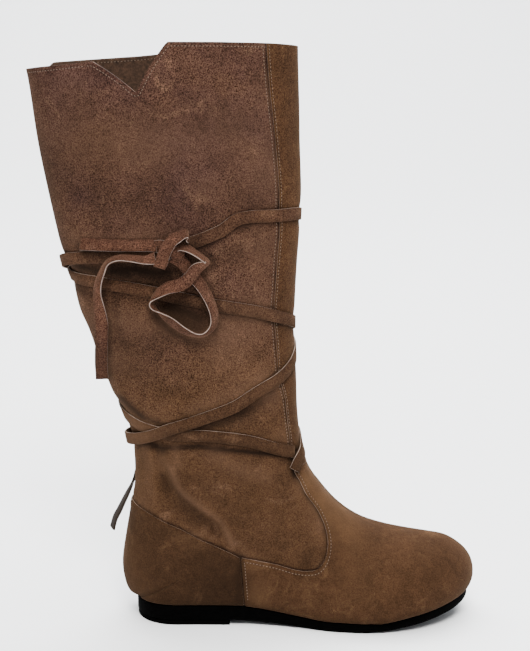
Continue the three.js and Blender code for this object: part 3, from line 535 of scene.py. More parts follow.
def skin_point(around, level):
    """Points of the finished outer face, and their outward directions."""
    step_around, step_level = 0.012, 0.12

    def read(a, b):
        return surface(wrap_around(a), b)

    ahead, behind = read(around + step_around, level), read(around - step_around, level)
    lower, upper = read(around, level + step_level), read(around, level - step_level)
    normals = unit(np.cross(lower - upper, ahead - behind))
    points = read(around, level)
    return points + normals * relief(points)[:, None], normals


# Meshes
def vertex_normals(points, triangles):
    """Outward directions at the points, each the mean of its triangles by area."""
    normals = np.zeros_like(points)
    a, b, c = points[triangles[:, 0]], points[triangles[:, 1]], points[triangles[:, 2]]
    faces = np.cross(b - a, c - a)
    for k in range(3):
        np.add.at(normals, triangles[:, k], faces)
    length = np.linalg.norm(normals, axis=1, keepdims=True)
    return normals / np.where(length > 0, length, 1)


def link_object(name, data):
    linked = bpy.data.objects.new(name, data)
    bpy.context.scene.collection.objects.link(linked)
    return linked


def make_mesh(name, points, faces, materials, face_materials=None):
    """A piece in the row frame from points in the build's millimetres."""
    mesh = bpy.data.meshes.new(name)
    row_points = (np.asarray(points, float) + SHIFT) * 0.001
    mesh.from_pydata(row_points.tolist(), [], [list(map(int, face)) for face in faces])
    for material in materials:
        mesh.materials.append(material)
    if face_materials is not None:
        mesh.polygons.foreach_set("material_index", np.asarray(face_materials, np.int32))
    mesh.polygons.foreach_set("use_smooth", [True] * len(mesh.polygons))
    mesh.validate()
    mesh.update()
    return link_object(name, mesh)


def settle(piece, node):
    """The piece stays with the row, in place of this solid."""
    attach(piece, "root")
    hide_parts(node)


def edit_mesh(piece, work):
    """Runs one piece of work on the mesh as a bmesh."""
    bm = bmesh.new()
    bm.from_mesh(piece.data)
    work(bm)
    bm.to_mesh(piece.data)
    bm.free()
    piece.data.update()


def drop_loose(bm):
    """Drops points that no face uses."""
    bmesh.ops.delete(bm, geom=[v for v in bm.verts if not v.link_faces], context="VERTS")


def weld(bm):
    """Joins points in one place and turns every face outwards."""
    bmesh.ops.remove_doubles(bm, verts=bm.verts, dist=1e-6)
    bmesh.ops.recalc_face_normals(bm, faces=bm.faces)


def tube_faces(rings, sides, base=0):
    """Faces round rings of points that follow one another, and the two ends."""
    faces = []
    for i in range(rings - 1):
        for k in range(sides):
            a, b = base + i * sides + k, base + i * sides + (k + 1) % sides
            faces.append((a, b, b + sides, a + sides))
    last = base + (rings - 1) * sides
    return faces + [tuple(range(base + sides - 1, base - 1, -1)), tuple(range(last, last + sides))]


def add_shade(piece, values, name="shade"):
    """Keeps a number at each point for the material, such as how dark a seam makes it."""
    attribute = piece.data.attributes.new(name, "FLOAT", "POINT")
    attribute.data.foreach_set("value", np.asarray(values, np.float32))


SIDE_COLUMNS = 96
ROW_PITCH = 2.5
FINE_LEVEL = 0.02
PROBE_SIDES = (-1, -0.6, 0, 0.6, 1)
BELOW_NOTCH = 1.6
NOTCH_FADE = 3.0
NOTCH_COLUMNS = np.array([0, 0.14, 0.29, 0.44, 0.56, 0.69, 1]) * SIDE_COLUMNS


def column_shares(side, level):
    """Where the columns stand round one side; those of the outer side gather at the notch."""
    plain = np.arange(SIDE_COLUMNS + 1) / SIDE_COLUMNS
    if side > 0:
        return plain
    warped = np.interp(np.arange(SIDE_COLUMNS + 1), NOTCH_COLUMNS, COLLAR[-1][0])
    return lerp(warped, plain, np.clip((level - BELOW_NOTCH) / (NOTCH_FADE - BELOW_NOTCH), 0, 1))


def row_levels():
    """Levels under the notch, evenly spaced along the face."""
    fine = np.arange(BELOW_NOTCH, TOE_LEVEL + FINE_LEVEL / 2, FINE_LEVEL)
    travel = np.zeros(len(fine) - 1)
    for around in PROBE_SIDES:
        travel = np.maximum(travel, np.linalg.norm(np.diff(surface(around, fine), axis=0), axis=1))
    length = np.concatenate([[0], travel.cumsum()])
    return np.interp(np.linspace(0, length[-1], int(length[-1] / ROW_PITCH)), length, fine)


COLLAR_ROWS = 22


def build_skin():
    """The outer face: points, outward directions, triangles and quads; the back is closed."""
    rows = [(BELOW_NOTCH, k / COLLAR_ROWS) for k in range(COLLAR_ROWS)]
    rows += [(level, None) for level in row_levels()]
    spots = []
    for level, below_edge in rows:
        row = []
        for side in (-1, 1):
            share = column_shares(side, level)
            levels = np.full(len(share), level)
            if below_edge is not None:
                levels = lerp(np.interp(share, *COLLAR[side]), BELOW_NOTCH, below_edge)
            row.append(np.stack([side * share, levels], axis=1))
        spots.append(np.concatenate([row[0][::-1], row[1][1:]]))
    spots = np.array(spots)
    row_count, column_count = spots.shape[:2]
    numbers = np.arange(row_count * column_count).reshape(row_count, column_count)
    closed = np.array([level for level, _ in rows]) <= HEEL_LEVEL
    numbers[closed, -1] = numbers[closed, 0]
    spots = spots.reshape(-1, 2)
    corners = [numbers[:-1, :-1], numbers[1:, :-1], numbers[1:, 1:], numbers[:-1, 1:]]
    quads = np.stack(corners, axis=-1).reshape(-1, 4)
    used, compact = np.unique(quads, return_inverse=True)
    quads, spots = compact.reshape(quads.shape), spots[used]
    points = surface(spots[:, 0], spots[:, 1])
    triangles = np.concatenate([quads[:, [0, 1, 2]], quads[:, [0, 2, 3]]])
    points = points + vertex_normals(points, triangles) * relief(points)[:, None]
    normals = vertex_normals(points, triangles)
    return dict(points=points, normals=normals, quads=quads, triangles=triangles, spots=spots)


def border_edges(triangles):
    """Directed edges that only one triangle has."""
    edges = np.concatenate([triangles[:, [0, 1]], triangles[:, [1, 2]], triangles[:, [2, 0]]])
    keys = {(int(a), int(b)) for a, b in edges if a != b}
    return [(a, b) for a, b in keys if (b, a) not in keys]


def clip(points, normals, triangles, field):
    """The part of a mesh where field is above 0, cut straight across its triangles."""
    points, normals, field = list(points), list(normals), list(field)
    count = (np.array(field)[triangles] > 0).sum(axis=1)
    result = [tuple(t) for t in triangles[count == 3]]
    cuts = {}

    def cut(a, b):
        key = (min(a, b), max(a, b))
        if key not in cuts:
            t = field[a] / (field[a] - field[b])
            cuts[key] = len(points)
            points.append(lerp(points[a], points[b], t))
            normal = lerp(normals[a], normals[b], t)
            normals.append(normal / np.linalg.norm(normal))
            field.append(0.0)
        return cuts[key]

    for triangle in triangles[(count == 1) | (count == 2)]:
        ring = []
        for k in range(3):
            a, b = int(triangle[k]), int(triangle[(k + 1) % 3])
            if field[a] > 0:
                ring.append(a)
            if (field[a] > 0) != (field[b] > 0):
                ring.append(cut(a, b))
        result += [(ring[0], ring[k], ring[k + 1]) for k in range(1, len(ring) - 1)]
    result = np.array(result)
    a, b, c = result.T
    result = result[(a != b) & (b != c) & (a != c)]
    used, compact = np.unique(result, return_inverse=True)
    points, normals, field = (np.array(values)[used] for values in (points, normals, field))
    return points, normals, compact.reshape(-1, 3), field


# How far in an overlay's edge rounds, how much it drops there, and its middle line's height
EDGE_ROUND, EDGE_DROP, EDGE_MIDDLE = 0.9, 0.45, 0.25


def overlay(name, points, normals, triangles, field, offset, thickness, material, taper=1.0):
    """A piece of leather lying on the skin, its cut edge rounded over and left raw."""
    full = thickness * taper * np.ones(len(points))
    rounding = 1 - EDGE_DROP * (1 - np.clip(field / EDGE_ROUND, 0, 1)) ** 2
    top = points + normals * (offset + full * rounding)[:, None]
    middle = points + normals * (offset + full * EDGE_MIDDLE)[:, None]
    bottom = points + normals * offset
    low = len(points)
    mid = 2 * low
    faces = [tuple(t) for t in triangles] + [(a + low, c + low, b + low) for a, b, c in triangles]
    kinds = [0] * len(faces)
    for a, b in border_edges(triangles):
        faces += [(b, a, a + mid, b + mid), (b + mid, a + mid, a + low, b + low)]
        kinds += [1, 1]
    piece = make_mesh(name, np.concatenate([top, bottom, middle]), faces, [material, RAW_EDGE], kinds)
    edit_mesh(piece, drop_loose)
    return piece, top


SHORTEST_LINE = 4


def iso_lines(points, normals, triangles, field, value):
    """Where field has this value, as lines of points with outward directions."""
    above = field > value
    crossing = triangles[(above[triangles].sum(axis=1) % 3) != 0]
    places, links = {}, {}

    def place(a, b):
        key = (min(a, b), max(a, b))
        if key not in places:
            t = (value - field[a]) / (field[b] - field[a])
            places[key] = (lerp(points[a], points[b], t), lerp(normals[a], normals[b], t))
        return key

    for a, b, c in crossing:
        keys = [place(p, q) for p, q in ((a, b), (b, c), (c, a)) if above[p] != above[q]]
        if len(keys) == 2:
            links.setdefault(keys[0], []).append(keys[1])
            links.setdefault(keys[1], []).append(keys[0])
    lines, seen = [], set()
    starts = [k for k in links if len(links[k]) == 1] + list(links)
    for start in starts:
        if start in seen:
            continue
        line, at = [start], start
        seen.add(start)
        while True:
            onward = [k for k in links[at] if k not in seen]
            if not onward:
                break
            at = onward[0]
            seen.add(at)
            line.append(at)
        if len(line) > SHORTEST_LINE:
            lines.append(tuple(np.array([places[k][part] for k in line]) for part in (0, 1)))
    return lines


STITCH_PITCH = 2.6
STITCH_RINGS, STITCH_SIDES, STITCH_RISE, STITCH_PROBE = 5, 6, 0.18, 0.6
THREAD_TAPER, THREAD_THINNEST = 0.9, 0.12
# Length, radius and how deep it lies, of a stitch and of a needle hole, a dark thread of painted shade
STITCH, HOLE = (1.4, 0.24, 0.08), (0.9, 0.34, 0.3)


def stitch_row(points, normals):
    """The stitches along one line: place, direction and outward direction of each."""
    length = run_length(points)
    if length[-1] < 2 * STITCH_PITCH:
        return []
    at = np.arange(STITCH_PITCH / 2, length[-1], STITCH_PITCH)

    def read(values, where):
        return np.stack([np.interp(where, length, column) for column in values.T], axis=1)

    along = read(points, at + STITCH_PROBE) - read(points, at - STITCH_PROBE)
    rows = zip(read(points, at), along, read(normals, at))
    return [(centre, a / np.linalg.norm(a), out) for centre, a, out in rows if np.linalg.norm(a) > 1e-6]


def build_stitches(name, stitches, material, length, radius, sink):
    """Every stitch is a short thread, thick in the middle and going into the leather at its ends."""
    points, faces = [], []
    for centre, along, out in stitches:
        out = out - along * (out @ along)
        out = out / np.linalg.norm(out)
        across = np.cross(out, along)
        faces += tube_faces(STITCH_RINGS, STITCH_SIDES, len(points))
        for s in np.linspace(-1, 1, STITCH_RINGS):
            swell = radius * math.sqrt(max(THREAD_THINNEST, 1 - s * s * THREAD_TAPER))
            middle = centre + along * s * length / 2 + out * (-sink + STITCH_RISE * (1 - s * s))
            for k in range(STITCH_SIDES):
                angle = 2 * math.pi * k / STITCH_SIDES
                points.append(middle + swell * (math.cos(angle) * across + math.sin(angle) * out))
    return make_mesh(name, points, faces, [material])


# Thong: a flat strip with rounded corners and pale cut edges
BEVEL = 0.55


def strip_profile(width):
    half, top = width / 2, LACE_THICKNESS
    return np.array([
        (-half, BEVEL), (-half + BEVEL, 0), (0, -0.02), (half - BEVEL, 0), (half, BEVEL),
        (half, top - BEVEL), (half - BEVEL, top), (0, top + 0.05), (-half + BEVEL, top),
        (-half, top - BEVEL),
    ])


STRIP_EDGES = (4, 9)
# Worn nap on the runs: over the heel, at x, z and radius, and in the light patches, which also hold
# painted light
WORN_AT_HEEL, HEEL_SPOT, WORN_AND_LIT_PATCHES = 0.4, (0.03, 0.355, 22), 0.5
# Painted shade at each profile point of a strip, darkest at its edges, so it looks rounder
EDGE_SHADE = np.array([0.24, 0.16, 0, 0.16, 0.24, 0.24, 0.16, 0, 0.16, 0.24])


def strip(name, centres, outs, materials, width=LACE_WIDTH, middle=False, cover=None):
    """A strip through these points; outs are the directions its face looks. middle centres it.
    cover gives the shade that what lies over the strip throws at a point of it."""
    tangents = unit(np.gradient(centres, axis=0))
    outs = square_to(outs, tangents)
    across = np.cross(outs, tangents)
    profile = strip_profile(width) - [0, LACE_THICKNESS / 2 if middle else 0]
    points = (
        centres[:, None, :]
        + across[:, None, :] * profile[None, :, :1]
        + outs[:, None, :] * profile[None, :, 1:]
    ).reshape(-1, 3)
    rings, sides = len(centres), len(profile)
    kinds = [int(k in STRIP_EDGES) for k in range(sides)] * (rings - 1) + [1, 1]
    piece = make_mesh(name, points, tube_faces(rings, sides), materials, kinds)
    shade = np.tile(EDGE_SHADE, rings)
    if cover is not None:
        shade = shade + cover(points)
        # worn nap with painted light
        worn_and_lit = WORN_AT_HEEL * spot(points, *HEEL_SPOT) + WORN_AND_LIT_PATCHES * patch_amount(points, "light")
        add_shade(piece, worn_and_lit, "worn_and_lit")
    add_shade(piece, np.clip(shade, 0, 0.9))
    return piece


# Materials


class Nodes:
    """Short calls for a material's nodes."""

    def __init__(self, name):
        self.material = bpy.data.materials.new(name)
        self.material.use_nodes = True
        self.tree = self.material.node_tree
        self.shader = self.tree.nodes["Principled BSDF"]

    def add(self, kind, **values):
        node = self.tree.nodes.new(kind)
        for key, value in values.items():
            if hasattr(node, key) and key not in node.inputs:
                setattr(node, key, value)
            else:
                node.inputs[key].default_value = value
        return node

    def link(self, source, target):
        self.tree.links.new(source, target)

    def feed(self, *pairs):
        """Links each source to its socket, or sets the socket where the source is a number or a colour."""
        for source, socket in pairs:
            if isinstance(source, bpy.types.NodeSocket):
                self.link(source, socket)
            else:
                socket.default_value = source

    def noise(self, scale, detail, roughness=0.55, distortion=0.0):
        node = self.add(
            "ShaderNodeTexNoise", Scale=scale, Detail=detail, Roughness=roughness, Distortion=distortion
        )
        self.link(self.add("ShaderNodeTexCoord").outputs["Object"], node.inputs["Vector"])
        return node.outputs["Fac"]

    def ramp(self, source, low, high, low_at=0.3, high_at=0.7):
        node = self.add("ShaderNodeValToRGB")
        for element, colour, at in zip(node.color_ramp.elements, (low, high), (low_at, high_at)):
            element.position = at
            element.color = (*colour, 1)
        self.link(source, node.inputs["Fac"])
        return node.outputs["Color"]

    def mask(self, source, low_at, high_at):
        return self.ramp(source, grey(0), grey(1), low_at, high_at)

    def soft_range(self, source, *limits):
        """limits are from low, from high, to low, to high."""
        node = self.add("ShaderNodeMapRange", interpolation_type="SMOOTHSTEP")
        self.link(source, node.inputs["Value"])
        for socket, value in zip(("From Min", "From Max", "To Min", "To Max"), limits):
            node.inputs[socket].default_value = value
        return node.outputs["Result"]

    def mix(self, factor, a, b, blend="MIX"):
        node = self.add("ShaderNodeMix", data_type="RGBA", blend_type=blend)
        self.feed((factor, node.inputs[0]), (a, node.inputs[6]), (b, node.inputs[7]))
        return node.outputs[2]

    def math(self, operation, a, b):
        node = self.add("ShaderNodeMath", operation=operation)
        self.feed((a, node.inputs[0]), (b, node.inputs[1]))
        return node.outputs[0]

    def bump(self, height, strength, distance, after=None):
        node = self.add("ShaderNodeBump", Strength=strength, Distance=distance)
        self.link(height, node.inputs["Height"])
        if after is not None:
            self.link(after, node.inputs["Normal"])
        return node.outputs["Normal"]

    def finish(self, colour, normal, roughness, specular, sheen=0.0):
        shader = self.shader.inputs
        self.link(colour, shader["Base Color"])
        self.link(normal, shader["Normal"])
        shader["Roughness"].default_value = roughness
        shader["Specular IOR Level"].default_value = specular
        shader["Sheen Weight"].default_value = sheen
        shader["Sheen Roughness"].default_value = 0.5
        shader["Sheen Tint"].default_value = SHEEN_TINT
        return self.material


SHEEN_TINT = (0.8, 0.5, 0.3, 1)
DEEP_SHADE = (0.0035, 0.0021, 0.0014, 1)


def grey(value):
    return (value, value, value)


def suede(name, tones, grain_depth):
    """Brushed leather. tones are dark, plain, warm and light, and the tone low down on the boot."""
    dark, plain, warm, light, low_down = tones
    light, warm, low_down = (*light, 1), (*warm, 1), (*low_down, 1)
    n = Nodes(name)
    cloud = n.ramp(n.noise(26, 6, 0.62, 0.6), dark, plain, 0.3, 0.62)
    tone = n.mix(n.mask(n.noise(11, 4, 0.55, 0.4), 0.45, 0.68), cloud, warm)
    split = n.add("ShaderNodeSeparateXYZ")
    n.link(n.add("ShaderNodeTexCoord").outputs["Object"], split.inputs[0])
    height = split.outputs["Z"]
    tone = n.mix(n.soft_range(height, 0.12, 0.36, 0.75, 0.0), tone, low_down)
    # worn nap in soft patches, and thin curved scratches
    patches = n.mask(n.noise(34, 7, 0.7, 1.2), 0.56, 0.74)
    tone = n.mix(n.math("MULTIPLY", patches, 0.55), tone, light)
    contour = n.math("ABSOLUTE", n.math("SUBTRACT", n.noise(30, 2, 0.5, 1.5), 0.5), 0)
    scratch = n.ramp(contour, grey(1), grey(0), 0.0, 0.006)
    rare = n.mask(n.noise(19, 2, 0.5), 0.56, 0.66)
    tone = n.mix(n.math("MULTIPLY", n.math("MULTIPLY", scratch, rare), 0.5), tone, light)
    # the nap: mottle, clumps of a few millimetres and grain of about one, calmer low down
    clumps = n.noise(260, 4, 0.7, 0.6)
    grain = n.noise(1150, 2, 0.6, 0.3)
    mottle = n.noise(75, 3, 0.6, 0.8)
    for pattern, low_at, high_at in ((clumps, 0.35, 0.65), (mottle, 0.36, 0.64)):
        uneven = n.ramp(pattern, grey(0.87), grey(1.13), low_at, high_at)
        tone = n.mix(1.0, tone, uneven, "MULTIPLY")
    low, high = lerp(0.5, 0.14, grain_depth), lerp(1.5, 2.4, grain_depth)
    speckle = n.ramp(grain, grey(low), grey(high), 0.34, 0.69)
    calm = n.soft_range(height, 0.1, 0.24, 0.5, 1.0)
    tone = n.mix(calm, tone, n.mix(1.0, tone, speckle, "MULTIPLY"))
    # Painted shade where the shade attribute says, and worn nap with painted highlight where the other one
    # says
    for attribute, colour in (("shade", DEEP_SHADE), ("worn_and_lit", light)):
        amount = n.add("ShaderNodeAttribute", attribute_name=attribute)
        tone = n.mix(amount.outputs["Fac"], tone, colour)
    fine = n.bump(grain, lerp(0.4, 0.75, grain_depth), 0.0005)
    return n.finish(tone, n.bump(clumps, 0.4, 0.0008, fine), 0.95, 0.03, 0.06)


def plain_leather(name, low, high, scale, bump, low_at=0.3, high_at=0.7, roughness=0.95):
    n = Nodes(name)
    tone = n.ramp(n.noise(scale, 5, 0.7), low, high, low_at, high_at)
    return n.finish(tone, n.bump(n.noise(scale * 3, 4, 0.7), bump, 0.0005), roughness, 0.25)


def rubber(name):
    n = Nodes(name)
    tone = n.ramp(n.noise(240, 6, 0.7), (0.0001, 0.0001, 0.0001), (0.0007, 0.0006, 0.0006), 0.35, 0.75)
    dust = n.mask(n.noise(90, 6, 0.75, 0.5), 0.6, 0.8)
    tone = n.mix(n.math("MULTIPLY", dust, 0.3), tone, (0.008, 0.0065, 0.0055, 1))
    fine = n.bump(n.noise(900, 3, 0.7), 0.35, 0.0004)
    return n.finish(tone, n.bump(n.noise(70, 5, 0.6), 0.4, 0.0008, fine), 0.9, 0.02)


# Linear colours: dark, plain, warm, light, low down
SHAFT_TONES = [
    (0.0195, 0.0091, 0.0066), (0.0318, 0.0157, 0.012), (0.0395, 0.0196, 0.0118), (0.088, 0.048, 0.0285),
    (0.0375, 0.0186, 0.008),
]
FOOT_TONES = [
    (0.0225, 0.0106, 0.0053), (0.0375, 0.0182, 0.009), (0.046, 0.0218, 0.0102), (0.088, 0.047, 0.0225),
    (0.033, 0.0159, 0.0076),
]
COUNTER_TONES = [
    (0.0172, 0.0085, 0.0044), (0.0275, 0.0137, 0.007), (0.033, 0.0157, 0.0074), (0.062, 0.0325, 0.016),
    (0.025, 0.0124, 0.006),
]
# The thong is one leather in two copies: darker on the wound runs as painted shade, lighter on the loose
# parts as painted light
SHADED_WRAP_TONES = [
    (0.0205, 0.01, 0.0062), (0.0335, 0.0167, 0.0104), (0.043, 0.0207, 0.0116), (0.092, 0.05, 0.0285),
    (0.0265, 0.0133, 0.0063),
]
LIT_LOOSE_TONES = [
    (0.024, 0.0108, 0.0066), (0.042, 0.0196, 0.0128), (0.058, 0.0255, 0.0155), (0.1, 0.053, 0.035),
    (0.042, 0.0196, 0.0125),
]
UPPER_SUEDE = suede("upper_suede", SHAFT_TONES, 1.0)
VAMP_SUEDE = suede("vamp_suede", FOOT_TONES, 0.4)
COUNTER_SUEDE = suede("counter_suede", COUNTER_TONES, 0.5)
# the wound runs in the thong's shaded copy, the loose parts in its lit copy
SHADED_WRAP_SUEDE = suede("shaded_thong_suede", SHADED_WRAP_TONES, 0.6)
LIT_LOOSE_SUEDE = suede("lit_loose_thong_suede", LIT_LOOSE_TONES, 0.8)
# The back tail: the thong painted near black as painted shade
SHADED_TAIL_SUEDE = plain_leather("shaded_tail_suede", (0.006, 0.0032, 0.0016), (0.018, 0.0095, 0.0046), 600, 0.5)
LINING = plain_leather("lining_leather", (0.01, 0.0052, 0.003), (0.062, 0.032, 0.018), 330, 0.6)
CUT_EDGE = plain_leather("cut_edge", (0.11, 0.075, 0.062), (0.27, 0.21, 0.175), 420, 0.6)
WRAP_EDGE = plain_leather("wrap_edge", (0.05, 0.03, 0.02), (0.25, 0.185, 0.145), 50, 0.6, 0.36, 0.56)
RAW_EDGE = plain_leather("raw_edge", (0.1, 0.065, 0.045), (0.24, 0.165, 0.12), 60, 0.6, 0.4, 0.6)
RIM_EDGE = plain_leather("rim_edge", (0.022, 0.012, 0.008), (0.12, 0.075, 0.055), 70, 0.6, 0.42, 0.62)
THREAD = plain_leather("thread", (0.08, 0.052, 0.035), (0.17, 0.118, 0.083), 700, 0.3, roughness=0.85)
# Needle holes: dark thread as painted shade in the holes
NEEDLE_HOLE_SHADE = plain_leather("stitch_hole_shade", (0.003, 0.0018, 0.0012), (0.008, 0.0045, 0.003), 700, 0.3)
INSOLE_LEATHER = plain_leather(
    "insole_leather", (0.022, 0.013, 0.008), (0.04, 0.025, 0.016), 180, 0.3, roughness=0.7
)
SOLE_RUBBER = rubber("sole_rubber")

# The loose parts of the thong: x, y, z, turn of the face from facing outwards
LOOP_ROUTE = [
    (44, -46, 297.9, 10), (51, -45, 293.5, 0), (58.2, -44.5, 284.4, -20), (65.5, -45, 275.5, -38),
    (71.9, -47, 264.2, -50), (75.1, -47.5, 253.8, -55), (74.3, -47.5, 245.7, -60), (68.6, -48, 239.5, -68),
    (61.5, -48, 238.6, -66), (52.2, -47.5, 242, -50), (42.4, -46.5, 248.8, -46), (33.9, -46, 255.4, -76),
    (29, -46.5, 260.4, -104), (27.9, -47, 264.6, -92), (32.5, -48, 269.7, -62), (40.7, -49, 274.8, -32),
    (50.5, -50, 277.5, -8), (57.7, -50, 283.2, 6), (61.8, -50, 288.9, 20), (67.4, -49.5, 292.1, 50),
    (70.2, -49, 294, 74), (65.1, -49, 298.5, 76), (57, -48.5, 303.7, 68), (50.7, -48, 306.5, 45),
    (45.8, -47, 305.9, 20),
]
SHORT_END_ROUTE = [
    (32.9, -45, 305.5, 24), (27, -44.5, 306.1, 28), (8.1, -41.5, 305.5, 26), (-10.1, -36, 305.2, 24),
    (-25.9, -30, 304.9, 22),
]
LONG_END_ROUTE = [
    (31.6, -49.5, 297.3, 30), (24, -49.5, 296, 60), (13.4, -48, 296.9, 70), (3.6, -47, 296.9, 75),
    (-4, -45, 293.3, 75), (-8.4, -43, 285.7, 65), (-12, -40.5, 276.4, 55), (-13.1, -38.5, 267, 45),
    (-11.8, -37, 256, 25), (-10.6, -36, 245.8, 5), (-10.8, -35, 237.2, 0), (-11.9, -34, 216.3, 0),
    (-11.4, -34, 201.4, 0),
]
TAIL_ROUTE = [
    (14.3, 18.4, 147, 136), (14.1, 18.1, 137, 135), (13.5, 17, 127, 131), (11.4, 13.3, 117.5, 119),
    (8, 7.2, 109.5, 98), (4.6, 0.5, 102.4, 82), (0.6, -4.5, 94.8, 76), (-2.9, -7, 87.8, 72),
    (-6.2, -8, 81.5, 70), (-8.7, -8, 72.8, 68),
]

skin = build_skin()

# About how many millimetres one unit of around is at the front strip's edge
AROUND_MM = 230


def facing_width(level):
    return np.interp(level, FACING_LEVELS, FACING_WIDTHS)


# Soft patches on the outer side: x in shares of length, z in shares of boot height, radius in
# millimetres, and how much lighter (worn nap with painted light) or darker (mostly painted shade) the
# suede is there
PATCHES = {
    "light": [
        (0.1, 0.82, 26, 0.1), (0.38, 0.55, 20, 0.24), (0.4, 0.66, 18, 0.2), (0.42, 0.8, 26, 0.24),
        (0.44, 0.92, 16, 0.2), (0.24, 0.765, 12, 0.16), (0.42, 0.42, 14, 0.3), (0.3, 0.48, 18, 0.2),
        (0.0, 0.47, 14, 0.14), (0.24, 0.62, 9, 0.16), (0.6, 0.19, 17, 0.3), (0.52, 0.25, 8, 0.4),
        (0.56, 0.22, 9, 0.3), (0.65, 0.16, 10, 0.14), (0.15, 0.68, 14, 0.14), (0.05, 0.69, 14, 0.1),
        (-0.1, 0.93, 14, 0.1), (0.46, 0.33, 9, 0.2), (0.12, 0.29, 9, 0.22), (0.06, 0.215, 9, 0.2),
        (0.2, 0.165, 10, 0.12), (0.36, 0.115, 12, 0.12), (0.01, 0.12, 11, 0.24), (0.04, 0.07, 13, 0.14),
        (0.38, 0.06, 10, 0.26), (0.66, 0.1, 20, 0.08),
    ],
    "dark": [
        (-0.19, 0.79, 26, 0.34), (-0.15, 0.68, 20, 0.2), (-0.02, 0.83, 20, 0.14),
        (-0.04, 0.76, 16, 0.2), (0.15, 0.8, 18, 0.1), (0.07, 0.5, 13, 0.3), (0.03, 0.5, 6, 0.3),
        (0.15, 0.52, 12, 0.16), (-0.08, 0.85, 24, 0.2), (0.1, 0.845, 20, 0.2), (0.3, 0.867, 16, 0.24),
        (0.15, 0.56, 15, 0.42), (0.05, 0.575, 12, 0.2), (0.24, 0.362, 16, 0.26),
        (0.34, 0.375, 10, 0.26), (0.25, 0.325, 13, 0.2), (0.29, 0.08, 22, 0.36), (0.2, 0.06, 22, 0.12),
        (0.9, 0.1, 24, 0.24), (0.8, 0.06, 20, 0.12), (0.7, 0.13, 16, 0.1), (0.52, 0.12, 12, 0.26),
        (0.44, 0.15, 9, 0.16), (0.46, 0.26, 9, 0.2),
    ],
}

# Deep shade on the outer side: width in millimetres, depth, and a line in the same shares
STROKES = [
    # between the wound runs left of the knot, and under it
    (4, 0.97, [(-0.15, 0.641), (-0.12, 0.633)]),
    (5, 0.9, [(-0.1, 0.628), (-0.03, 0.624), (0.04, 0.621)]),
    (8, 0.94, [(-0.01, 0.628), (0.06, 0.63), (0.11, 0.625), (0.14, 0.628)]),
    (6, 0.6, [(0.14, 0.612), (0.2, 0.605)]),
    # inside the loop and round it
    (4, 0.7, [(0.1, 0.583), (0.15, 0.59), (0.21, 0.583)]),
    (6.5, 0.96, [(0.15, 0.567), (0.2, 0.557), (0.225, 0.547)]),
    (6, 0.75, [(0.17, 0.55), (0.225, 0.53)]),
    (3, 0.7, [(0.098, 0.556), (0.145, 0.529), (0.19, 0.512), (0.225, 0.508)]),
    (4, 0.45, [(0.2, 0.508), (0.25, 0.512), (0.28, 0.535), (0.285, 0.56)]),
    (3.5, 0.7, [(0.29, 0.553), (0.36, 0.546), (0.45, 0.538)]),
    # under the run that leaves the knot to the right
    (4.5, 0.8, [(0.2, 0.663), (0.25, 0.674), (0.31, 0.697), (0.4, 0.714)]),
    # beside the hanging end
    (4, 0.45, [(0.0, 0.6), (0.004, 0.55), (0.012, 0.5)]),
    (4, 0.5, [(-0.11, 0.588), (-0.06, 0.58)]),
    # over, between and under the lower runs
    (3.4, 0.97, [(0.004, 0.4), (0.028, 0.388), (0.05, 0.378), (0.068, 0.37)]),
    (3, 0.7, [(0.068, 0.37), (0.11, 0.363)]),
    (3.5, 0.9, [(0.02, 0.364), (0.07, 0.349)]),
    (4.5, 0.75, [(0.22, 0.357), (0.3, 0.371), (0.37, 0.392), (0.42, 0.41)]),
    (6.5, 0.8, [(0.29, 0.374), (0.35, 0.388)]),
    (4.5, 0.92, [(0.055, 0.323), (0.12, 0.315)]),
    (3.2, 0.97, [(0.476, 0.303), (0.49, 0.29), (0.494, 0.284)]),
    (2.6, 0.95, [(0.12, 0.318), (0.22, 0.323), (0.34, 0.314), (0.42, 0.306), (0.48, 0.3)]),
    # the hollow beside the diagonal ridge, and the vamp's back edge
    (5, 0.34, [(0.15, 0.258), (0.19, 0.222), (0.225, 0.2)]),
    (4, 0.5, [(0.336, 0.125), (0.33, 0.09), (0.33, 0.045)]),
]


def outer_side(points):
    return smooth((6 - points[:, 1]) / SIDE_FADE)


def spot(points, x, z, radius):
    """A soft round spot seen from the side; x and z are shares of length and boot height."""
    return bell(np.hypot(points[:, 0] - x * FOOT_LENGTH, points[:, 2] - z * BOOT_HEIGHT), radius)


def patch_amount(points, kind):
    """All patches of one kind at these points, from 0 to 1."""
    total = np.zeros(len(points))
    for x, z, radius, amount in PATCHES[kind]:
        total += amount * spot(points, x, z, radius)
    return np.clip(total * outer_side(points), 0, 1)


def stroke_amount(points):
    dark = np.zeros(len(points))
    for width, amount, line in STROKES:
        away = distance_to_line(points[:, [0, 2]], np.array(line) * [FOOT_LENGTH, BOOT_HEIGHT])
        dark = np.maximum(dark, amount * bell(away, width))
    return dark * outer_side(points)


# How strongly the folds' crests get painted highlight and their troughs painted shade
FOLD_LIGHT_AND_SHADE = 0.13


def worn_and_highlight(points):
    """Painted highlight on the folds' crests, and the light patches: worn nap with painted light."""
    crests = FOLD_LIGHT_AND_SHADE * np.clip(fold_relief(points), 0, 4)
    return np.clip(crests + patch_amount(points, "light"), 0, 0.8)


def fold_and_patch_shade(points):
    """Painted shade in the folds' troughs and in the dark patches."""
    troughs = FOLD_LIGHT_AND_SHADE * np.clip(-fold_relief(points), 0, 4)
    return np.clip(troughs + patch_amount(points, "dark"), 0, 0.9)


# Shade beside a run of thong and deeper under it: where it starts and how far it reaches
RUN_EDGE, BESIDE_REACH, UNDER_RUN, UNDER_REACH = 5, 1.8, 5.5, 3.2


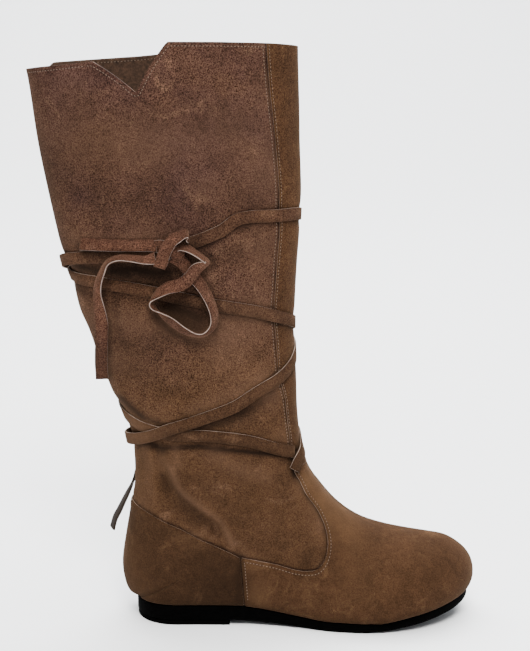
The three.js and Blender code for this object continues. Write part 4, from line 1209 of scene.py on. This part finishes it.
def lace_shade(points, runs=(0, 1), strength=0.5):
    """Dark beside the laces, most along their lower edges."""
    dark = np.zeros(len(points))
    for index in runs:
        line = WRAP_POINTS[index]
        away = nearest_distance(points, line[::2])
        dark = np.maximum(dark, 0.4 * strength * bell(np.clip(away - RUN_EDGE, 0, None), BESIDE_REACH))
        away = nearest_distance(points, (line - [0, 0, UNDER_RUN])[::2])
        dark = np.maximum(dark, strength * bell(away, UNDER_REACH))
    return dark


# Shade that the loose parts throw: depth, where it starts, how far it reaches, and its shift
LOOSE_DEPTH, LOOSE_EDGE, LOOSE_REACH, LOOSE_SHIFT = 0.45, 3.5, 2.6, [1.0, -2.0]


def loose_shade(points):
    """Dark beside the loose parts of the thong, seen from the outer side."""
    dark = np.zeros(len(points))
    for route in (LOOP_ROUTE, SHORT_END_ROUTE, LONG_END_ROUTE):
        route = np.array(route, float)[:, [0, 2]]
        line = through(route, np.linspace(0, len(route) - 1, 120)) + LOOSE_SHIFT
        away = distance_to_line(points[:, [0, 2]], line)
        dark = np.maximum(dark, LOOSE_DEPTH * bell(np.clip(away - LOOSE_EDGE, 0, None), LOOSE_REACH))
    return dark * outer_side(points)


SOLE_SHADE_RISE = 5


def sole_shade(points, depth):
    """Dark close above the sole's edge."""
    return depth * np.exp(-np.clip(points[:, 2] - sole_top(points[:, 0]), 0, None) / SOLE_SHADE_RISE)


# Where the counter's seam ends, in shares of length, and the dark lines' depths and widths
SEAM_END = 0.34
SEAM_LINE, VAMP_LINE, FACING_LINE = (0.85, 1.0), (0.75, 1.6), (0.9, 1.3)
SOLE_ON_UPPER, SOLE_ON_OVERLAY, MOST_SHADE = 0.55, 0.5, 0.95


def dark_line(distance, line):
    depth, width = line
    return depth * bell(distance, width)


def seam_shade(points):
    """Dark on the upper in the seams, at the sole's edge and under what lies over it."""
    flat = points[:, [0, 2]]
    counter_seam = distance_to_line(flat, COUNTER_SEAM)
    dark = dark_line(counter_seam, SEAM_LINE) * (points[:, 0] < SEAM_END * FOOT_LENGTH)
    vamp_edge = -inside_polygon(flat, VAMP_POLYGON)
    beside = dark_line(vamp_edge, VAMP_LINE) * (vamp_edge > -2)
    around, level = skin["spots"].T
    strip_edge = (around + facing_width(level)) * AROUND_MM
    beside_strip = dark_line(strip_edge, FACING_LINE) * (level < FACING_END)
    dark = dark + sole_shade(points, SOLE_ON_UPPER) + beside + beside_strip
    return np.clip(dark + cover_shade(points), 0, MOST_SHADE)


def cover_shade(points):
    """Painted shade from all that lies over the suede, in the folds' troughs and in the dark patches."""
    deep = np.maximum(np.maximum(lace_shade(points), loose_shade(points)), stroke_amount(points))
    return deep + (1 - deep) * fold_and_patch_shade(points)


# The upper: outer face, raw rim and inner face in one closed wall
def build_upper():
    points, normals, quads = skin["points"], skin["normals"], skin["quads"]
    count = len(points)
    faces = [*quads, *(quads[:, ::-1] + count)]
    kinds = [0] * len(quads) + [1] * len(quads)
    for a, b in border_edges(skin["triangles"]):
        faces.append((b, a, a + count, b + count))
        kinds.append(2)
    # where the two sides meet, a face may have two corners in one place
    rings = [[v for k, v in enumerate(face) if v != face[k - 1]] for face in faces]
    rings, kinds = zip(*((ring, kind) for ring, kind in zip(rings, kinds) if len(ring) >= 3))
    both_faces = np.concatenate([points, points - normals * WALL])
    piece = make_mesh("upper_leather", both_faces, rings, [UPPER_SUEDE, LINING, RIM_EDGE], kinds)
    plain = np.zeros(count)
    # The outer face's painted shade, and its worn nap with painted highlight, for the suede material
    add_shade(piece, np.concatenate([seam_shade(points), plain]))
    add_shade(piece, np.concatenate([worn_and_highlight(points), plain]), "worn_and_lit")
    settle(piece, "upper")


build_upper()


def build_points(piece):
    """A piece's points in the build's millimetres."""
    return np.array([v.co[:] for v in piece.data.vertices]) * 1000 - SHIFT


def overlay_from_skin(name, polygon, thickness, material, node):
    """Leather over this part of the skin. Gives its upper face and how far inside it each point is."""
    points, normals = skin["points"], skin["normals"]
    room = points[:, 2] + np.minimum(normals[:, 2], 0) * (GAP + thickness) - sole_top(points[:, 0]) - GAP
    field = np.minimum(inside_polygon(points[:, [0, 2]], polygon), room)
    points, normals, triangles, field = clip(points, normals, skin["triangles"], field)
    piece, top = overlay(name, points, normals, triangles, field, GAP, thickness, material)
    placed = build_points(piece)
    # Painted shade, and worn nap with painted highlight, for the suede material
    add_shade(piece, np.clip(sole_shade(placed, SOLE_ON_OVERLAY) + cover_shade(placed), 0, MOST_SHADE))
    add_shade(piece, worn_and_highlight(placed), "worn_and_lit")
    settle(piece, node)
    return top, normals, triangles, inside_polygon(top[:, [0, 2]], polygon)


vamp_face = overlay_from_skin("vamp_leather", VAMP_POLYGON, VAMP_THICKNESS, VAMP_SUEDE, "vamp")
overlay_from_skin("counter_leather", COUNTER_POLYGON, COUNTER_THICKNESS, COUNTER_SUEDE, "heel_counter")


# The front strip, on its own fine grid
FACING_OVERLAP = 0.012
FACING_ROWS, FACING_COLUMNS, FACING_MM = 230, 22, 24


def build_facing():
    steps = np.linspace(0, 1, FACING_ROWS), np.linspace(0, 1, FACING_COLUMNS)
    t, s = np.meshgrid(*steps, indexing="ij")
    width = facing_width(np.linspace(0.6, FACING_END, FACING_ROWS))[:, None]
    collar = np.interp(np.abs(lerp(-width, FACING_OVERLAP, s)), *COLLAR[-1])
    level = lerp(collar, FACING_END, t)
    around = lerp(-facing_width(level), FACING_OVERLAP, s)
    points, normals = skin_point(around.ravel(), level.ravel())
    numbers = np.arange(s.size).reshape(s.shape)
    a, b = numbers[:-1, :-1].ravel(), numbers[:-1, 1:].ravel()
    c, d = numbers[1:, :-1].ravel(), numbers[1:, 1:].ravel()
    triangles = np.concatenate([np.stack([a, c, b], 1), np.stack([b, c, d], 1)])
    # near the seam the strip thins to lie level with the shaft
    seam = s.ravel() * FACING_MM
    field = np.minimum(seam, (1 - s.ravel()) * FACING_MM)
    taper = lerp(0.45, 1.0, smooth(seam / 7))
    face = points, normals, triangles, field
    piece, _ = overlay("facing_leather", *face, FACING_OFFSET, FACING_THICKNESS, VAMP_SUEDE, taper)
    placed = build_points(piece)
    add_shade(piece, np.clip(0.04 + lace_shade(placed) + stroke_amount(placed), 0, 0.9))
    add_shade(piece, np.zeros(len(placed)), "worn_and_lit")
    settle(piece, "front_facing")


build_facing()


# Sole, heel lift and insole: rings round the foot's outline, closed by strips across
PLATE_STEPS, PLATE_COLUMNS = 48, 14


def plate(name, rings, material, node, last_x=None):
    """rings are (inset, height function) from the inside of the top, out and down to the bottom."""
    places = np.linspace(0, 3, 3 * PLATE_STEPS + 1)
    if last_x is not None:
        end = 1 + (last_x - HEEL_ROUND_X) / (BALL_X - HEEL_ROUND_X)
        places = np.linspace(0, end, PLATE_STEPS + 1)
    n = len(places)
    points, faces, starts = [], [], []
    for inset, height in rings:
        starts.append((len(points), len(points) + n))
        for side in (-1, 1):
            x, y = outline(places, side, inset)
            points += list(np.stack([x, y, height(x)], axis=1))

    def join(left, right, turned):
        for i in range(n - 1):
            face = (left + i, left + i + 1, right + i + 1, right + i)
            faces.append(face[::-1] if turned else face)

    for (outer_a, inner_a), (outer_b, inner_b) in zip(starts[:-1], starts[1:]):
        join(outer_a, outer_b, True)
        join(inner_a, inner_b, False)
        if last_x is not None:
            faces.append((outer_b + n - 1, inner_b + n - 1, inner_a + n - 1, outer_a + n - 1))
    for (outer, inner), turned in ((starts[0], False), (starts[-1], True)):
        columns = [outer]
        for k in range(1, PLATE_COLUMNS):
            columns.append(len(points))
            points += [lerp(points[outer + i], points[inner + i], k / PLATE_COLUMNS) for i in range(n)]
        for left, right in zip(columns, [*columns[1:], inner]):
            join(left, right, turned)
    piece = make_mesh(name, points, faces, [material])
    edit_mesh(piece, weld)
    settle(piece, node)


def raised(height, shift):
    return lambda x: height(x) + shift


def flat_at(z):
    return lambda x: z + 0 * x


plate(
    "outsole_rubber",
    [
        (1.0, sole_top), (0.35, raised(sole_top, -0.25)), (0, raised(sole_top, -0.9)),
        (0, lambda x: lerp(sole_top(x), sole_bottom(x), 0.5)),
        (0, raised(sole_bottom, 1.2)), (0.4, raised(sole_bottom, 0.35)), (1.4, sole_bottom),
    ],
    SOLE_RUBBER, "outsole",
)
lift_top = HEEL_LIFT - GAP
plate(
    "heel_lift_rubber",
    [
        (0.9, flat_at(lift_top)), (0.5, flat_at(lift_top - 0.4)), (0.5, flat_at(0.8)),
        (0.8, flat_at(0.2)), (1.5, flat_at(0)),
    ],
    SOLE_RUBBER, "heel_lift", last_x=HEEL_BREAST - 1,
)
insole_inset = FEATHER_INSET + WALL + 2 * GAP
insole_top = raised(sole_top, GAP + INSOLE_THICKNESS)
plate(
    "insole_leather",
    [
        (insole_inset + 1, insole_top), (insole_inset + 0.2, raised(insole_top, -0.4)),
        (insole_inset, raised(insole_top, -1.2)), (insole_inset, raised(sole_top, GAP)),
    ],
    INSOLE_LEATHER, "insole",
)


# Stitches
VAMP_STITCHES_IN = 2.6
RIM_STITCHES_IN = 3.0
FAR_FROM_RIM = 50.0
STITCHES_END_ABOVE_SOLE = 6
stitches = []
for points, normals in iso_lines(*vamp_face, VAMP_STITCHES_IN):
    stitches += stitch_row(points, normals)
stitches = [s for s in stitches if s[0][2] > sole_top(s[0][0]) + STITCHES_END_ABOVE_SOLE]

rim_share = np.linspace(0, 1, 240)
rim = [surface(side * rim_share, np.interp(rim_share, *COLLAR[side])) for side in (-1, 1)]
near_top = skin["spots"][:, 1] < BELOW_NOTCH + 0.4
rim_distance = np.full(len(skin["points"]), FAR_FROM_RIM)
rim_distance[near_top] = nearest_distance(skin["points"][near_top], np.concatenate(rim))
skin_face = skin["points"], skin["normals"], skin["triangles"]
for points, normals in iso_lines(*skin_face, rim_distance, RIM_STITCHES_IN):
    stitches += stitch_row(points, normals) + stitch_row(points - normals * WALL, -normals)

# one row beside the front strip on the shaft, and one on the strip
BESIDE_STRIP, ON_STRIP = -0.012, 0.0075
level = np.linspace(0.66, FACING_END - 0.1, 400)
for shift, lift in ((BESIDE_STRIP, 0.0), (ON_STRIP, FACING_OFFSET + 0.5 * FACING_THICKNESS)):
    points, normals = skin_point(-facing_width(level) + shift, level)
    stitches += stitch_row(points + normals * lift, normals)
# a dark thread of painted shade in each needle hole, between the stitches
holes = [(centre + along * STITCH_PITCH / 2, along, out) for centre, along, out in stitches]
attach(build_stitches("stitches", stitches, THREAD, *STITCH), "root")
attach(build_stitches("stitch_holes", holes, NEEDLE_HOLE_SHADE, *HOLE), "root")


# The wound thong
LACE_LIFT = 0.25
LOWER_RUNS = 6
# Where the front strip lies in around, from its middle, and the level where the vamp starts
STRIP_MIDDLE, STRIP_HALF, STRIP_FADE = -0.05, 0.1, 0.08
VAMP_LEVEL, VAMP_FADE, BACK_REACH = 8.2, 0.7, 0.09
CROSSING_GAP, CROSSING_NEAR, CROSSING_FADE = 0.3, 5, 12
# How far each run stands off at the back: its lower turns and its upper ones
STAND_OFFS = ((0.6, 0.8), (4.0, 2.5))
UNDER_SHORT_END = np.array([(-0.07, 0.652), (0.1, 0.657), (0.14, 0.66)]) * [FOOT_LENGTH, BOOT_HEIGHT]


def wrap_heights(index):
    """Run two passes over run one and both pass over the front strip and the vamp's edge."""
    around, level = wrap_around(WRAPS[index][:, 0]), WRAPS[index][:, 1]
    on_strip = 1 - smooth((np.abs(around - STRIP_MIDDLE) - STRIP_HALF) / STRIP_FADE)
    on_vamp = smooth((level - VAMP_LEVEL) / VAMP_FADE)
    lift = np.maximum(on_strip * (FACING_OFFSET + FACING_THICKNESS), on_vamp * (GAP + VAMP_THICKNESS))
    stand_off = np.where(level > LOWER_RUNS, *STAND_OFFS[index])
    lift = LACE_LIFT + lift + stand_off * bell(np.abs(around) - 1, BACK_REACH)
    if index == 1:
        near = nearest_distance(WRAP_POINTS[1], WRAP_POINTS[0])
        over = 1 - smooth((near - CROSSING_NEAR) / CROSSING_FADE)
        lift = lift + (LACE_THICKNESS + CROSSING_GAP) * over
    return lift


# Shade on the runs: depth and width under the short end; depth, x, z and radius inside the loop
UNDER_END_LINE, IN_LOOP, IN_LOOP_SPOT = (0.45, 5), 0.6, (0.175, 0.563, 13)
LOOSE_ON_RUNS, RUN_ON_RUN = 0.75, 0.6


def run_two_cover(points):
    """Loose parts shade the runs: the short end, the loop and what hangs from the knot."""
    away = distance_to_line(points[:, [0, 2]], UNDER_SHORT_END)
    behind = dark_line(away, UNDER_END_LINE) * outer_side(points)
    in_loop = IN_LOOP * spot(points, *IN_LOOP_SPOT) * outer_side(points)
    return np.maximum(np.maximum(LOOSE_ON_RUNS * loose_shade(points), behind), in_loop)


def run_one_cover(points):
    return np.maximum(run_two_cover(points), lace_shade(points, (1,), RUN_ON_RUN))


RUNS = [("lace_run_one", run_one_cover), ("lace_run_two", run_two_cover)]
for index, (name, cover) in enumerate(RUNS):
    base, out = skin_point(*WRAPS[index].T)
    centres = base + out * wrap_heights(index)[:, None]
    settle(strip(name, centres, out, [SHADED_WRAP_SUEDE, WRAP_EDGE], cover=cover), "lace_wraps")


def loose_frames(route):
    """A loose part's middle line, and the directions its face looks there."""
    rows = fine_rows(route, 8)
    centres = rows[:, :3]
    tangents = unit(np.gradient(centres, axis=0))
    out = square_to(np.tile([0.0, -1.0, 0.0], (len(centres), 1)), tangents)
    angle = np.radians(rows[:, 3])[:, None]
    return centres, out * np.cos(angle) + np.cross(tangents, out) * np.sin(angle)


KNOT_BAND = [
    (56, -45, 312, 75), (54, -50, 315.5, 62), (49, -53, 313.8, 40), (44, -54, 310.3, 26),
    (39.6, -54.3, 303.3, 16), (37, -53.5, 296, 8), (35.2, -51.5, 291.8, 0), (34.6, -48, 290.4, -6),
]
KNOT_UNDER = [
    (31, -43, 305, 5), (36, -47, 306, 5), (42, -49.5, 304, 0), (48, -49, 301, 0), (53, -46, 300, 0),
]


KNOT_UNDER_WIDTH = 9.0


def knot_strip(name, route, width):
    piece = strip(name, *loose_frames(route), (LIT_LOOSE_SUEDE, CUT_EDGE), width, middle=True)
    settle(piece, "lace_knot")
    return piece


knot = knot_strip("knot_band", KNOT_BAND, LACE_WIDTH)
knot_under = knot_strip("knot_under", KNOT_UNDER, KNOT_UNDER_WIDTH)


def loose_part(
    name, route, node, suedes=(LIT_LOOSE_SUEDE, CUT_EDGE), cover=None
):
    centres, out = loose_frames(route)
    piece = strip(name, centres, out, suedes, middle=True, cover=cover)
    settle(piece, node)


# Shade on the loop, with x, z and radius, and down the hanging end, with its height and length
LOOP_DARK, LOOP_SPOT = 0.16, (0.15, 0.556, 11)
HANGING_DARK, HANGING_FROM, HANGING_FADE = 0.24, 0.535, 20


def loop_cover(points):
    """Shade on the loop at its lower left."""
    return LOOP_DARK * spot(points, *LOOP_SPOT)


def hanging_cover(points):
    """The hanging end is darker low down."""
    return HANGING_DARK * smooth((HANGING_FROM * BOOT_HEIGHT - points[:, 2]) / HANGING_FADE)


loose_part("bow_loop", LOOP_ROUTE, "lace_loop", cover=loop_cover)
loose_part("short_end", SHORT_END_ROUTE, "lace_end_short")
loose_part(
    "long_end", LONG_END_ROUTE, "lace_end_long", cover=hanging_cover
)
# the back tail in its painted-shade suede
shaded_tail_suedes = (SHADED_TAIL_SUEDE, SHADED_TAIL_SUEDE)
loose_part("back_tail", TAIL_ROUTE, "lace_tail", suedes=shaded_tail_suedes)

# Floor, light and camera
SWEEP_START, SWEEP_RADIUS, SWEEP_TOP, SWEEP_SIDE, SWEEP_NEAR, SWEEP_STEPS = 2.6, 1.2, 3.2, 2.4, -2.6, 16
sweep = [(SWEEP_NEAR, 0.0), (SWEEP_START, 0.0)]
for step in range(1, SWEEP_STEPS + 1):
    angle = math.pi / 2 * step / SWEEP_STEPS
    sweep.append((SWEEP_START + SWEEP_RADIUS * math.sin(angle), SWEEP_RADIUS * (1 - math.cos(angle))))
sweep.append((SWEEP_START + SWEEP_RADIUS, SWEEP_TOP))
floor_mesh = bpy.data.meshes.new("floor")
floor_mesh.from_pydata(
    [(side * SWEEP_SIDE, y, z) for y, z in sweep for side in (-1, 1)],
    [],
    [(2 * i, 2 * i + 1, 2 * i + 3, 2 * i + 2) for i in range(len(sweep) - 1)],
)
floor_mesh.polygons.foreach_set("use_smooth", [True] * len(floor_mesh.polygons))
floor = link_object("floor", floor_mesh)
pale = Nodes("floor_pale")
pale.shader.inputs["Base Color"].default_value = (0.93, 0.94, 0.955, 1)
pale.shader.inputs["Roughness"].default_value = 0.95
pale.shader.inputs["Specular IOR Level"].default_value = 0.1
floor_mesh.materials.append(pale.material)

world = bpy.data.worlds.new("studio")
bpy.context.scene.world = world
world.use_nodes = True
world.node_tree.nodes["Background"].inputs["Color"].default_value = (0.97, 0.985, 1.0, 1)
world.node_tree.nodes["Background"].inputs["Strength"].default_value = 0.5


def aim(lamp, place, target):
    lamp.location = place
    lamp.rotation_euler = (Vector(target) - Vector(place)).to_track_quat("-Z", "Y").to_euler()


def area_light(name, place, target, power, width, height, colour=(1, 1, 1)):
    light = bpy.data.lights.new(name, "AREA")
    light.shape = "RECTANGLE"
    light.size, light.size_y = width, height
    light.energy = power
    light.color = colour
    aim(link_object(name, light), place, target)


area_light("key", (0.1, -1.5, 1.95), (0.05, 0, 0.15), 98, 0.9, 0.9, (1, 0.985, 0.96))
area_light("overhead", (0.2, 0.35, 2.4), (0.1, 0.3, 0), 110, 2.4, 1.8)
area_light("back", (0, 2.2, 3.0), (0, 2.6, 0), 300, 5.0, 2.4)

CAMERA_DISTANCE = 1.150
CAMERA_HEIGHT = 0.477
CAMERA_X = 0.113
TARGET_HEIGHT = 0.236
LENS = 83.2

camera_data = bpy.data.cameras.new("camera")
camera_data.lens = LENS
camera_data.sensor_width = 36
camera_data.sensor_fit = "AUTO"
camera = link_object("camera", camera_data)
eye = Vector((CAMERA_X + SHIFT[0] / 1000, -CAMERA_DISTANCE + SHIFT[1] / 1000, CAMERA_HEIGHT))
target = Vector((eye.x, SHIFT[1] / 1000, TARGET_HEIGHT))
aim(camera, eye, target)
bpy.context.scene.camera = camera
